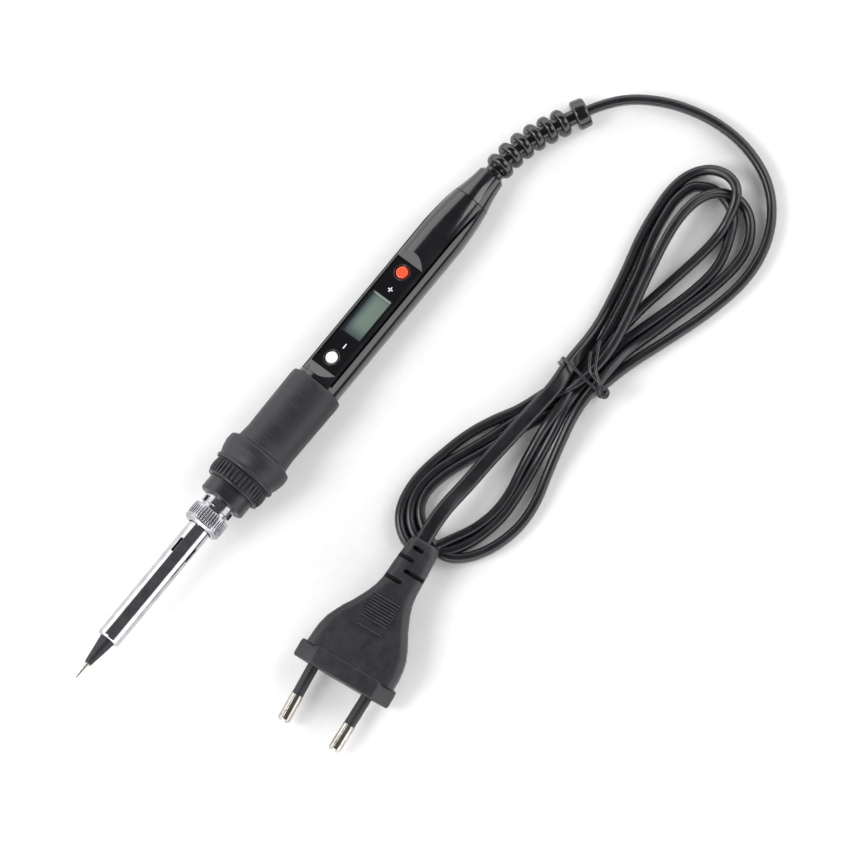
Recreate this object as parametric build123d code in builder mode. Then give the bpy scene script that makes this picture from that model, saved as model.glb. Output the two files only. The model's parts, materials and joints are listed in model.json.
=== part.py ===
from build123d import *
import os
from math import asin, cos, degrees, pi, radians, sin, tan

# Digital soldering iron with its mains lead, lying on a bench.
# Stations run along the iron's own axis in millimetres from the point of the tip.
# "side" is across the iron and "up" is out of its display.

# ---------------------------------------------------------------- how it lies
ROLL = 19.0                 # the display leans this far to +Y

# ---------------------------------------------------------------- rooms
SLIDING_GAP = 0.3           # radial room between pieces that move apart
SEAT_GAP = 0.1              # room between pieces that are fitted together

# ---------------------------------------------------------------- barrel
BARREL_RADIUS = 3.85
BARREL_WALL = 0.5
BARREL_NECKING = 0.2        # the tube is a little slimmer inside the nut
BARREL_FLANGE_STEP = 1.0    # the flange stands out of the tube by this
BARREL_FLANGE_THICKNESS = 0.8
BARREL_MOUTH_ROUNDING = 0.9
SLOT_LENGTH = 5.4
SLOT_WIDTH = 1.1
SLOT_BEFORE_NUT = 8.4       # from the middle of a slot to the nut
SLOT_COUNT = 4
SLOT_TURN = 12.0            # the first slot's place round the barrel, from up

# ---------------------------------------------------------------- tip and heater
TIP_BASE_STATION = 15.0     # where the tip leaves the barrel
TIP_POINT_RADIUS = 0.45
TIP_TINNED_STATION = 5.6
TIP_TINNED_RADIUS = 1.05
TIP_TINNED_STEP = 0.15
TIP_CONE_RADIUS = 2.5
TIP_CONE_HIDDEN = 1.4       # the cone's root, inside the barrel's mouth
TIP_SHANK_RADIUS = BARREL_RADIUS - BARREL_WALL - SEAT_GAP
TIP_BORE_START = 18.5
HEATER_RADIUS = 1.95
HEATER_FLANGE_RADIUS = HEATER_RADIUS + 1.25
HEATER_FLANGE_LENGTH = 3.7

# ---------------------------------------------------------------- nut and nipple
NUT_START = 59.0
NUT_LENGTH = 6.0
NUT_FRONT_WALL = 1.2
THREAD_RADIUS = BARREL_RADIUS + BARREL_FLANGE_STEP + SEAT_GAP / 2
NUT_RADIUS = THREAD_RADIUS + 1.3
NUT_KNURLS = 44
NUT_KNURL_DEPTH = 0.22
TIP_SHANK_END = NUT_START - 16.0
NIPPLE_FRONT_WALL = 0.8     # in front of the heater's flange
NIPPLE_FLANGE_START = NUT_START + NUT_LENGTH + 1.2
NIPPLE_FLANGE_LENGTH = 2.9
NIPPLE_FLANGE_RADIUS = THREAD_RADIUS + 0.3
NIPPLE_UNDERCUT = 0.3       # behind the thread
NIPPLE_SPIGOT_RADIUS = THREAD_RADIUS - 0.5
NIPPLE_SPIGOT_LENGTH = 3.9
NIPPLE_TABS = 6
TAB_NOTCH_DEPTH = 1.3
TAB_NOTCH_WIDTH = 2.2
TAB_NOTCH_LENGTH = 1.9

# ---------------------------------------------------------------- collar and ring
COLLAR_START = NIPPLE_FLANGE_START + NIPPLE_FLANGE_LENGTH
COLLAR_RADIUS = 7.65
COLLAR_LIP_STEP = 0.75
COLLAR_LIP_LENGTH = 1.1
COLLAR_LIP_RADIUS = COLLAR_RADIUS + COLLAR_LIP_STEP
HEATER_END = COLLAR_START + 4.9
RING_START = COLLAR_START + 5.1
RING_LENGTH = 5.3
RING_END = RING_START + RING_LENGTH
RING_FRONT_WALL = 1.0
RING_BORE = COLLAR_LIP_RADIUS + SLIDING_GAP
RING_RADIUS = RING_BORE + 0.95
RING_BEAD_LENGTH = 1.3
RING_RIBS = 30
RING_RIB_DEPTH = 0.3
RING_RIB_WIDTH = 1.0
WASHER_THICKNESS = 0.5

# ---------------------------------------------------------------- grip
HANDLE_RADIUS = 7.5
HANDLE_WALL = 1.5
GRIP_START = RING_END + 0.2
GRIP_LENGTH = 35.3
GRIP_END = GRIP_START + GRIP_LENGTH
GRIP_OVER_HANDLE = 1.35     # the grip stands out of the handle by this
GRIP_WALL = 1.75
GRIP_RADIUS = HANDLE_RADIUS + GRIP_OVER_HANDLE
GRIP_FLANGE_RADIUS = GRIP_RADIUS + 2.15
FLANGE_REST = GRIP_START + 6.8   # station of the grip's widest ring, on the bench
GRIP_GROOVES = 6
GRIP_GROOVE_PITCH = 3.8
GRIP_GROOVE_WIDTH = 0.9
GRIP_GROOVE_HALF = 2.6
GRIP_GROOVE_DEPTH = 0.75

# ---------------------------------------------------------------- handle
COVER_START = GRIP_END + 1.5
FLAT_START = COVER_START + 3.2
FLAT_LENGTH = 41.3
FLAT_END = FLAT_START + FLAT_LENGTH
FLAT_SLOPE_LENGTH = 3.2
FLAT_UP = HANDLE_RADIUS - 1.8    # height of the display flat over the axis
SHELF_THICKNESS = 1.6
SHELF_UNDER = FLAT_UP - SHELF_THICKNESS
TAPER_START = FLAT_END + 13.0
TAPER_LENGTH = 14.0
TAPER_MIDDLE_RADIUS = HANDLE_RADIUS - 0.55
SEAM_STATION = TAPER_START + TAPER_LENGTH
SEAM_RADIUS = HANDLE_RADIUS - 1.4
COVER_SEAT = 3.0            # height of the ledge that the cover sits on
COVER_WALL = 0.95
COVER_GROOVE = 0.6          # open line between cover and body
TAIL_LENGTH = 10.5
TAIL_END = SEAM_STATION + TAIL_LENGTH
TAIL_RADIUS = SEAM_RADIUS - 1.75
SPIGOT_RADIUS = SEAM_RADIUS - 2.1
SPIGOT_LENGTH = 4.0
SPIGOT_BORE = SPIGOT_RADIUS - 1.2
END_WALL = 1.5

# ---------------------------------------------------------------- display
WINDOW_THICKNESS = 0.75
WINDOW_HALF_WIDTH = 4.45
COVER_HALF_WIDTH = WINDOW_HALF_WIDTH + 0.9
LCD_LENGTH = 15.0
LCD_WIDTH = 6.8
LCD_THICKNESS = 1.25
LCD_PIN_ROWS = 2
LCD_PINS_PER_ROW = 6
LCD_ROW_SPACING = 6.0
LCD_PIN_RADIUS = 0.25
MINUS_STATION = FLAT_START + 4.1
PLUS_STATION = FLAT_END - 3.7
LCD_START = (MINUS_STATION + PLUS_STATION - LCD_LENGTH) / 2
BUTTON_RADIUS = 1.9
BUTTON_TRAVEL = 0.4
BUTTON_FLANGE_RADIUS = BUTTON_RADIUS + 1.0
BUTTON_FLANGE_THICKNESS = 0.55
BUTTON_STANDS_OUT = 0.45
PLUNGER_RADIUS = 1.2
SWITCH_SIZE = 4.4
SWITCH_HEIGHT = 1.4

# ---------------------------------------------------------------- board
BOARD_START = COVER_START + 1.0
BOARD_END = TAPER_START + 3.5
BOARD_HALF_WIDTH = HANDLE_RADIUS - HANDLE_WALL - 0.7
BOARD_THICKNESS = 1.2
BOARD_CLEARANCE = 0.05      # between the board and the parts under it
RAIL_HEIGHT = 1.1
RAIL_GRIP = 0.6             # how far a rail reaches over the board
CHIP_SIZE = (5.0, 4.0, 1.5)
CHIP_BEFORE_END = 11.5
TRIAC_SIZE = (11.0, 7.8, 2.8)
CAPACITOR_SIZE = (13.0, 6.8, 4.3)
ROUND_CAPACITOR_RADIUS = 2.4
ROUND_CAPACITOR_LENGTH = 11.0
FUSE_RADIUS = 1.4
FUSE_LENGTH = 8.0
RESISTOR_RADIUS = 0.9
RESISTOR_LENGTH = 5.0
RESISTOR_STATIONS = (PLUS_STATION + 4.3, PLUS_STATION + 6.6, BOARD_END - 5.2)
LEAD_RADIUS = 0.4           # one wire of the heater
LEAD_OFFSET = 0.9           # from the axis, to the side and up
LEAD_STRAIGHT = 11.0
LEAD_BEND_RADIUS = 6.0
SLEEVE_WALL = 0.35
SLEEVE_LENGTH = 8.0
MAINS_WIRE_RADIUS = 0.75
MAINS_WIRE_OFFSET = 1.2
MAINS_WIRE_SPREAD = 2.2     # on the board
MAINS_WIRE_BEND = 2.5

# ---------------------------------------------------------------- strain relief
RELIEF_CORE_RADIUS = TAIL_RADIUS - 1.35
RELIEF_ROOT_STEP = 0.65     # the root inside the tail cap is thicker than the core
RELIEF_ROOT_LENGTH = 2.05
RELIEF_RIB_RADIUS = 4.65
RELIEF_RIBS = 6
RELIEF_RIB_PITCH = 4.5
RELIEF_RIB_THICKNESS = 2.3
RELIEF_FIRST_RIB = 3.4
RELIEF_WEB = (3.4, 5.0)     # the web between two ribs: to the side and up
RELIEF_STRAIGHT = 2.0
RELIEF_BEND_RADIUS = 45.0
RELIEF_BEND = 22.0
RELIEF_EASE_RADIUS = 200.0
RELIEF_EASE = 4.5
RELIEF_COLLAR_RADIUS = 4.8
RELIEF_COLLAR_LENGTH = 4.6

# ---------------------------------------------------------------- lead
CORD_WIDTH = 5.0
CORD_THICKNESS = 3.0
EXIT_RUN = 9.0              # straight cord where it leaves the relief and the plug
HANK_UPPER_LAYERS = 1.6
TIE_STATION = 68.3
TIE_WIRE = 0.8

# ---------------------------------------------------------------- plug
PLUG_HEADING = 8.7          # the plug's axis, pins to cord, from +X towards +Y
PLUG_TILT = 4.0             # its neck lies up on the hank
PLUG_FACE = (-48.9, -61.6)  # middle of the pin face
PLUG_WIDTH = 34.5
PLUG_HEIGHT = 13.4
PLUG_FLANGE_LENGTH = 5.8
PLUG_GRIP_LENGTH = 27.5
PLUG_NECK_LENGTH = 16.0
PLUG_BODY_LENGTH = PLUG_FLANGE_LENGTH + PLUG_GRIP_LENGTH
PLUG_LENGTH = PLUG_BODY_LENGTH + PLUG_NECK_LENGTH
PLUG_NECK_RADIUS = 4.5
NECK_SLOT_WIDTH = 1.3
NECK_SLOT_PITCH = 4.4
NECK_WEB_HALF = 2.6
PIN_SPACING = 18.6
PIN_TIP_SPACING = 17.6
PIN_LENGTH = 19.0
PIN_RADIUS = 2.0
PIN_CORE_RADIUS = PIN_RADIUS - 0.5
PIN_POINT_LENGTH = 0.7
PIN_SLEEVE_RADIUS = PIN_RADIUS - 0.2
PIN_SLEEVE_LENGTH = 10.0
PIN_ROOT = 10.0             # how far a pin reaches into the plug
BRIDGE_START = 2.0
BRIDGE_LENGTH = 12.0
BRIDGE_HEIGHT = PLUG_HEIGHT - 4.6
BRIDGE_COVER = 0.85         # wall between the bridge and the flange's sloped faces
BRIDGE_WIDTH = PLUG_WIDTH - BRIDGE_HEIGHT - 2 * BRIDGE_COVER

# ---------------------------------------------------------------- frames
BEND_ANGLE = radians(RELIEF_BEND)
EASE_ANGLE = radians(RELIEF_BEND + RELIEF_EASE)
RELIEF_REACH = TAIL_END + RELIEF_STRAIGHT + RELIEF_BEND_RADIUS * sin(BEND_ANGLE) + (
    RELIEF_EASE_RADIUS * (sin(EASE_ANGLE) - sin(BEND_ANGLE)))
PITCH = asin((GRIP_FLANGE_RADIUS - RELIEF_COLLAR_RADIUS) / (RELIEF_REACH - FLANGE_REST))
LEVEL = Vector(cos(PITCH), 0, -sin(PITCH))
RISE = Vector(sin(PITCH), 0, cos(PITCH))
LEAN = RISE * cos(radians(ROLL)) + Vector(0, 1, 0) * sin(radians(ROLL))
POINT_HEIGHT = GRIP_FLANGE_RADIUS * cos(PITCH) + FLANGE_REST * sin(PITCH)
POINT = Vector(-TAIL_END / 2 * cos(PITCH), 0, POINT_HEIGHT)
IRON = Plane(origin=POINT, x_dir=LEVEL, z_dir=LEAN)
IRON_AXIS = Axis(IRON.origin, IRON.x_dir)
SIDE = Plane(origin=IRON.origin, x_dir=IRON.x_dir, z_dir=-IRON.y_dir)


def at(station, side=0.0, up=0.0):
    """A point of the iron's own frame."""
    return IRON.from_local_coords(Vector(station, side, up))


def across(station):
    """The plane across the iron at a station: X to the side, Y up."""
    return Plane(origin=at(station), x_dir=IRON.y_dir, z_dir=IRON.x_dir)


def outline(plane, corners):
    """A face with (x, y) corners; a third value rounds its corner."""
    with BuildSketch(plane) as face:
        with BuildLine():
            Polyline(*[corner[:2] for corner in corners], close=True)
        make_face()
        for corner in corners:
            if len(corner) == 3:
                near = face.vertices().sort_by_distance(Vector(corner[0], corner[1], 0))[0]
                fillet(near, radius=corner[2])
    return face.sketch


def turn(*corners, mode=Mode.ADD):
    """Revolve an outline of (station, radius) corners about the iron's axis."""
    revolve(outline(IRON, corners), axis=IRON_AXIS, mode=mode)


def block(stations, sides, ups, mode=Mode.ADD, frame=IRON):
    """A box from three (low, high) pairs: along, to the side and up."""
    with BuildSketch(frame.offset(ups[0])) as base:
        with Locations(((stations[0] + stations[1]) / 2, (sides[0] + sides[1]) / 2)):
            Rectangle(stations[1] - stations[0], sides[1] - sides[0])
    extrude(base.sketch, amount=ups[1] - ups[0], mode=mode)


def post(station, side, ups, radius, mode=Mode.ADD):
    """A round post that stands up in the iron's own frame."""
    with BuildSketch(IRON.offset(ups[0])) as base:
        with Locations((station, side)):
            Circle(radius)
    extrude(base.sketch, amount=ups[1] - ups[0], mode=mode)


def rod(stations, side, up, radius):
    """A round rod along the iron."""
    with BuildSketch(across(stations[0])) as end:
        with Locations((side, up)):
            Circle(radius)
    extrude(end.sketch, amount=stations[1] - stations[0])


def wire(points, bend, radius):
    """A round wire through points of the iron's own frame."""
    with BuildLine() as run:
        FilletPolyline(*[at(*point) for point in points], radius=bend)
    with BuildSketch(Plane(origin=run.line @ 0, z_dir=run.line % 0)) as end:
        Circle(radius)
    sweep(end.sketch, path=run.line)


pieces = []


def finish(piece, name):
    """Label a sub-part and keep it for export."""
    piece.part.label = name
    pieces.append(piece.part)


# ================================================================ tip and heater
tip_bore_radius = HEATER_RADIUS + SLIDING_GAP
tip_shoulder = TIP_BASE_STATION + TIP_CONE_HIDDEN

with BuildPart() as tip:
    turn(
        (0, 0),
        (0, TIP_POINT_RADIUS, 0.25),
        (TIP_TINNED_STATION, TIP_TINNED_RADIUS),
        (TIP_TINNED_STATION + 2 * TIP_TINNED_STEP, TIP_TINNED_RADIUS + TIP_TINNED_STEP),
        (TIP_BASE_STATION, TIP_CONE_RADIUS),
        (tip_shoulder, TIP_CONE_RADIUS),
        (tip_shoulder, TIP_SHANK_RADIUS),
        (TIP_SHANK_END, TIP_SHANK_RADIUS),
        (TIP_SHANK_END, tip_bore_radius),
        (TIP_BORE_START, tip_bore_radius),
        (TIP_BORE_START - 1, 0),
    )
finish(tip, "tip")

with BuildPart() as heater:
    turn(
        (TIP_BORE_START + SLIDING_GAP, 0),
        (TIP_BORE_START + SLIDING_GAP, HEATER_RADIUS, 0.3),
        (HEATER_END, HEATER_RADIUS),
        (HEATER_END, 0),
    )
finish(heater, "heater")

barrel_inner = BARREL_RADIUS - BARREL_WALL
nut_wall_end = NUT_START + NUT_FRONT_WALL
barrel_flange = (nut_wall_end + SEAT_GAP, nut_wall_end + SEAT_GAP + BARREL_FLANGE_THICKNESS)
nipple_face = barrel_flange[1] + 3 * SEAT_GAP
heater_flange_start = nipple_face + NIPPLE_FRONT_WALL + SEAT_GAP
heater_flange_span = (heater_flange_start, heater_flange_start + HEATER_FLANGE_LENGTH)
with BuildPart() as heater_flange:
    turn(
        (heater_flange_span[0], HEATER_RADIUS + SEAT_GAP / 2),
        (heater_flange_span[0], HEATER_FLANGE_RADIUS),
        (heater_flange_span[1], HEATER_FLANGE_RADIUS),
        (heater_flange_span[1], HEATER_RADIUS + SEAT_GAP / 2),
    )
finish(heater_flange, "heater_flange")

# ================================================================ barrel and sleeve nut
barrel_seen_end = NUT_START - 2 * SEAT_GAP
barrel_flange_radius = BARREL_RADIUS + BARREL_FLANGE_STEP
barrel_mouth_radius = TIP_CONE_RADIUS + 2 * SEAT_GAP

with BuildPart() as barrel:
    turn(
        (TIP_BASE_STATION, barrel_mouth_radius),
        (TIP_BASE_STATION, BARREL_RADIUS, BARREL_MOUTH_ROUNDING),
        (barrel_seen_end, BARREL_RADIUS),
        (barrel_seen_end, BARREL_RADIUS - BARREL_NECKING),
        (barrel_flange[0], BARREL_RADIUS - BARREL_NECKING),
        (barrel_flange[0], barrel_flange_radius),
        (barrel_flange[1], barrel_flange_radius),
        (barrel_flange[1], barrel_inner),
        (tip_shoulder - SEAT_GAP, barrel_inner),
        (tip_shoulder - SEAT_GAP, barrel_mouth_radius),
    )
    for number in range(SLOT_COUNT):
        angle = 90 - SLOT_TURN - number * 360 / SLOT_COUNT
        slot_plane = Plane(
            origin=at(NUT_START - SLOT_BEFORE_NUT),
            x_dir=IRON.x_dir,
            z_dir=IRON.y_dir * cos(radians(angle)) + IRON.z_dir * sin(radians(angle)),
        )
        with BuildSketch(slot_plane):
            SlotOverall(SLOT_LENGTH, SLOT_WIDTH)
        extrude(amount=BARREL_RADIUS + 1, mode=Mode.SUBTRACT)
finish(barrel, "barrel")

nut_bore = THREAD_RADIUS + SLIDING_GAP
with BuildPart() as sleeve_nut:
    turn(
        (NUT_START, BARREL_RADIUS + SLIDING_GAP),
        (NUT_START, NUT_RADIUS - 0.75),
        (NUT_START + 0.8, NUT_RADIUS, 0.3),
        (NUT_START + NUT_LENGTH, NUT_RADIUS, 0.25),
        (NUT_START + NUT_LENGTH, nut_bore),
        (nut_wall_end, nut_bore),
        (nut_wall_end, BARREL_RADIUS + SLIDING_GAP),
    )
    with BuildSketch(across(NUT_START + NUT_FRONT_WALL + SEAT_GAP)):
        with PolarLocations(NUT_RADIUS + 0.05, NUT_KNURLS):
            Circle(NUT_KNURL_DEPTH + 0.05)
    extrude(amount=NUT_LENGTH, mode=Mode.SUBTRACT)
finish(sleeve_nut, "sleeve_nut")

# ================================================================ front fittings
nipple_tube_radius = barrel_inner - SLIDING_GAP
nipple_bore = HEATER_RADIUS + SLIDING_GAP
nipple_end = COLLAR_START + NIPPLE_SPIGOT_LENGTH
thread_end = NUT_START + NUT_LENGTH + 2 * SEAT_GAP

with BuildPart() as nipple:
    turn(
        (TIP_SHANK_END + SLIDING_GAP, nipple_bore),
        (TIP_SHANK_END + SLIDING_GAP, nipple_tube_radius),
        (nipple_face, nipple_tube_radius),
        (nipple_face, THREAD_RADIUS, 0.2),
        (thread_end, THREAD_RADIUS),
        (thread_end, THREAD_RADIUS - NIPPLE_UNDERCUT),
        (NIPPLE_FLANGE_START, THREAD_RADIUS - NIPPLE_UNDERCUT),
        (NIPPLE_FLANGE_START, NIPPLE_FLANGE_RADIUS, 0.3),
        (COLLAR_START - SEAT_GAP, NIPPLE_FLANGE_RADIUS),
        (COLLAR_START - SEAT_GAP, NIPPLE_SPIGOT_RADIUS),
        (nipple_end, NIPPLE_SPIGOT_RADIUS),
        (nipple_end, HEATER_FLANGE_RADIUS + SEAT_GAP),
        (heater_flange_span[0] - SEAT_GAP, HEATER_FLANGE_RADIUS + SEAT_GAP),
        (heater_flange_span[0] - SEAT_GAP, nipple_bore),
    )
    with BuildSketch(across(NIPPLE_FLANGE_START)):
        with PolarLocations(NIPPLE_FLANGE_RADIUS, NIPPLE_TABS):
            Rectangle(TAB_NOTCH_DEPTH, TAB_NOTCH_WIDTH)
    extrude(amount=TAB_NOTCH_LENGTH, mode=Mode.SUBTRACT)
finish(nipple, "nipple")

washer_start = RING_START + RING_FRONT_WALL + SEAT_GAP
lip_start = washer_start + WASHER_THICKNESS + SEAT_GAP
collar_lip = (lip_start, lip_start + COLLAR_LIP_LENGTH)

with BuildPart() as front_collar:
    turn(
        (COLLAR_START, NIPPLE_SPIGOT_RADIUS + SEAT_GAP),
        (COLLAR_START, COLLAR_RADIUS, 0.6),
        (collar_lip[0], COLLAR_RADIUS),
        (collar_lip[0], COLLAR_LIP_RADIUS),
        (collar_lip[1], COLLAR_LIP_RADIUS),
        (collar_lip[1], NIPPLE_SPIGOT_RADIUS + SEAT_GAP),
    )
finish(front_collar, "front_collar")

with BuildPart() as slip_washer:
    turn(
        (washer_start, COLLAR_RADIUS + SLIDING_GAP),
        (washer_start, COLLAR_LIP_RADIUS),
        (washer_start + WASHER_THICKNESS, COLLAR_LIP_RADIUS),
        (washer_start + WASHER_THICKNESS, COLLAR_RADIUS + SLIDING_GAP),
    )
finish(slip_washer, "slip_washer")

with BuildPart() as ring_nut:
    turn(
        (RING_START, COLLAR_RADIUS + SLIDING_GAP),
        (RING_START, RING_RADIUS - 0.5, 0.45),
        (RING_START + RING_BEAD_LENGTH, RING_RADIUS - 0.5),
        (RING_START + RING_BEAD_LENGTH + 0.2, RING_RADIUS, 0.1),
        (RING_END, RING_RADIUS, 0.3),
        (RING_END, RING_BORE),
        (RING_START + RING_FRONT_WALL, RING_BORE),
        (RING_START + RING_FRONT_WALL, COLLAR_RADIUS + SLIDING_GAP),
    )
    with BuildSketch(across(RING_START + RING_BEAD_LENGTH + 0.35)):
        with PolarLocations(RING_RADIUS, RING_RIBS):
            RectangleRounded(2 * RING_RIB_DEPTH, RING_RIB_WIDTH, 0.15)
    extrude(amount=RING_LENGTH, mode=Mode.SUBTRACT)
finish(ring_nut, "ring_nut")

# ================================================================ grip
grip_bore = GRIP_RADIUS - GRIP_WALL
with BuildPart() as grip:
    turn(
        (GRIP_START, grip_bore),
        (GRIP_START, GRIP_FLANGE_RADIUS, 1.4),
        (FLANGE_REST, GRIP_FLANGE_RADIUS, 1.2),
        (FLANGE_REST + 2.0, GRIP_RADIUS - 0.15, 1.5),
        (FLANGE_REST + 9.0, GRIP_RADIUS - 0.1),
        (GRIP_END - 12.0, GRIP_RADIUS),
        (GRIP_END, GRIP_RADIUS - 0.25, 1.2),
        (GRIP_END, grip_bore),
    )
    for number in range(GRIP_GROOVES):
        groove = FLANGE_REST + 4.6 + number * GRIP_GROOVE_PITCH
        block(
            (groove, groove + GRIP_GROOVE_WIDTH),
            (-GRIP_GROOVE_HALF, GRIP_GROOVE_HALF),
            (GRIP_RADIUS - GRIP_GROOVE_DEPTH, GRIP_RADIUS + 1),
            Mode.SUBTRACT,
        )
finish(grip, "grip")

# ================================================================ handle body
taper_middle = (TAPER_START + SEAM_STATION) / 2 + 0.6
nose_radius = RING_BORE - SLIDING_GAP
neck_radius = grip_bore - SEAT_GAP / 2
neck_end = GRIP_END + SLIDING_GAP
inner_radius = HANDLE_RADIUS - HANDLE_WALL


def turn_taper(start, end_station, inset, mode=Mode.ADD):
    """Revolve the handle's tapered profile as a solid."""
    with BuildSketch(IRON) as profile:
        with BuildLine():
            Line((start, HANDLE_RADIUS - inset), (TAPER_START, HANDLE_RADIUS - inset))
            ThreePointArc(
                (TAPER_START, HANDLE_RADIUS - inset),
                (taper_middle, TAPER_MIDDLE_RADIUS - inset),
                (end_station, SEAM_RADIUS - inset),
            )
            Polyline(
                (end_station, SEAM_RADIUS - inset),
                (end_station, 0),
                (start, 0),
                (start, HANDLE_RADIUS - inset),
            )
        make_face()
    revolve(profile.sketch, axis=IRON_AXIS, mode=mode)


board_slot = (-SEAT_GAP, BOARD_THICKNESS + SEAT_GAP)
rail_inner = BOARD_HALF_WIDTH - RAIL_GRIP
rail_outer = inner_radius + 0.3

with BuildPart() as handle_body:
    turn_taper(neck_end, SEAM_STATION, 0)
    turn(
        (collar_lip[1] + SEAT_GAP, 0),
        (collar_lip[1] + SEAT_GAP, nose_radius),
        (RING_END - SEAT_GAP, nose_radius),
        (RING_END - SEAT_GAP, neck_radius),
        (neck_end, neck_radius),
        (neck_end, 0),
    )
    turn(
        (SEAM_STATION, 0),
        (SEAM_STATION, SPIGOT_RADIUS),
        (SEAM_STATION + SPIGOT_LENGTH, SPIGOT_RADIUS),
        (SEAM_STATION + SPIGOT_LENGTH, 0),
    )
    turn_taper(COVER_START, SEAM_STATION - END_WALL, HANDLE_WALL, Mode.SUBTRACT)
    turn(
        (collar_lip[1], 0),
        (collar_lip[1], inner_radius - 0.5),
        (COVER_START, inner_radius - 0.5),
        (COVER_START, 0),
        mode=Mode.SUBTRACT,
    )
    turn(
        (SEAM_STATION - 2 * END_WALL, 0),
        (SEAM_STATION - 2 * END_WALL, SPIGOT_BORE),
        (SEAM_STATION + SPIGOT_LENGTH + 1, SPIGOT_BORE),
        (SEAM_STATION + SPIGOT_LENGTH + 1, 0),
        mode=Mode.SUBTRACT,
    )
    for hand in (-1, 1):
        sides = sorted((hand * rail_inner, hand * rail_outer))
        block((COVER_START + 0.5, BOARD_END), sides, (board_slot[0] - RAIL_HEIGHT, board_slot[0]))
        block((COVER_START + 0.5, BOARD_END), sides, (board_slot[1], COVER_SEAT))
    cavity_half = COVER_HALF_WIDTH + COVER_GROOVE
    block(
        (COVER_START - SEAT_GAP, SEAM_STATION),
        (-cavity_half, cavity_half),
        (COVER_SEAT, HANDLE_RADIUS + 1),
        Mode.SUBTRACT,
    )
finish(handle_body, "handle_body")

# ================================================================ top cover
cover_end = SEAM_STATION - SEAT_GAP
window_floor = FLAT_UP - WINDOW_THICKNESS
recess = (FLAT_START, FLAT_END)
recess_half = WINDOW_HALF_WIDTH + SEAT_GAP
hollow_half = COVER_HALF_WIDTH - COVER_WALL
lcd_span = (LCD_START - 0.6, LCD_START + LCD_LENGTH + 0.6)
lcd_half = LCD_WIDTH / 2 + 0.35

with BuildPart() as top_cover:
    turn_taper(COVER_START, SEAM_STATION, 0)
    block(
        (COVER_START, cover_end),
        (-COVER_HALF_WIDTH, COVER_HALF_WIDTH),
        (COVER_SEAT + SEAT_GAP / 2, HANDLE_RADIUS + 1),
        Mode.INTERSECT,
    )
    hollow_start = FLAT_END + FLAT_SLOPE_LENGTH + 1
    turn_taper(hollow_start, SEAM_STATION + 0.5, HANDLE_WALL, Mode.SUBTRACT)
    block((COVER_START + 1.2, hollow_start), (-hollow_half, hollow_half), (0, SHELF_UNDER), Mode.SUBTRACT)
    flat_cut = outline(SIDE, [
        (FLAT_START - FLAT_SLOPE_LENGTH, HANDLE_RADIUS + 0.05),
        (FLAT_START, FLAT_UP),
        (FLAT_END, FLAT_UP),
        (FLAT_END + FLAT_SLOPE_LENGTH, HANDLE_RADIUS + 0.05),
        (FLAT_END + FLAT_SLOPE_LENGTH, HANDLE_RADIUS + 2),
        (FLAT_START - FLAT_SLOPE_LENGTH, HANDLE_RADIUS + 2),
    ])
    extrude(flat_cut, amount=HANDLE_RADIUS, both=True, mode=Mode.SUBTRACT)
    block(recess, (-recess_half, recess_half), (window_floor, FLAT_UP + 1), Mode.SUBTRACT)
    block(
        (lcd_span[0] - SEAT_GAP, lcd_span[1] + SEAT_GAP),
        (-lcd_half - SEAT_GAP, lcd_half + SEAT_GAP),
        (0, FLAT_UP + 1),
        Mode.SUBTRACT,
    )
    for station in (MINUS_STATION, PLUS_STATION):
        post(station, 0, (0, FLAT_UP + 1), BUTTON_RADIUS + SLIDING_GAP, Mode.SUBTRACT)
finish(top_cover, "top_cover")

# ================================================================ display
with BuildPart() as display_window:
    block(
        (FLAT_START + SEAT_GAP, FLAT_END - SEAT_GAP),
        (-WINDOW_HALF_WIDTH, WINDOW_HALF_WIDTH),
        (window_floor + SEAT_GAP / 2, FLAT_UP),
    )
    with BuildSketch(IRON.offset(window_floor)):
        with Locations((LCD_START + LCD_LENGTH / 2, 0)):
            RectangleRounded(LCD_LENGTH, LCD_WIDTH, 0.5)
        with Locations((MINUS_STATION, 0), (PLUS_STATION, 0)):
            Circle(BUTTON_RADIUS + SLIDING_GAP + 0.4)
    extrude(amount=WINDOW_THICKNESS + 1, mode=Mode.SUBTRACT)
finish(display_window, "display_window")

lcd_top = window_floor - SEAT_GAP / 2
with BuildPart() as lcd_glass:
    block(lcd_span, (-lcd_half, lcd_half), (lcd_top - LCD_THICKNESS, lcd_top))
finish(lcd_glass, "lcd_glass")

holder_ups = (BOARD_THICKNESS + 0.8, lcd_top - LCD_THICKNESS - SEAT_GAP / 2)
with BuildPart() as lcd_holder:
    block((lcd_span[0] - 1, lcd_span[1] + 1), (-hollow_half + 0.3, hollow_half - 0.3), holder_ups)
finish(lcd_holder, "lcd_holder")

with BuildPart() as lcd_pins:
    with BuildSketch(IRON.offset(0.2)):
        with Locations((LCD_START + LCD_LENGTH / 2, 0)):
            with GridLocations(LCD_LENGTH / 5, LCD_ROW_SPACING, LCD_PINS_PER_ROW, LCD_PIN_ROWS):
                Circle(LCD_PIN_RADIUS)
    extrude(amount=holder_ups[0] - 0.2)
finish(lcd_pins, "lcd_pins")

with BuildPart() as circuit_board:
    block((BOARD_START, BOARD_END), (-BOARD_HALF_WIDTH, BOARD_HALF_WIDTH), (0, BOARD_THICKNESS))
    with BuildSketch(IRON):
        with Locations((LCD_START + LCD_LENGTH / 2, 0)):
            with GridLocations(LCD_LENGTH / 5, LCD_ROW_SPACING, LCD_PINS_PER_ROW, LCD_PIN_ROWS):
                Circle(LCD_PIN_RADIUS + SEAT_GAP / 2)
    extrude(amount=BOARD_THICKNESS, mode=Mode.SUBTRACT)
finish(circuit_board, "circuit_board")

# ================================================================ buttons and switches
switch_top = BOARD_THICKNESS + SWITCH_HEIGHT
button_foot = switch_top + 0.6
plunger_foot = button_foot - 1.15

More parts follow.
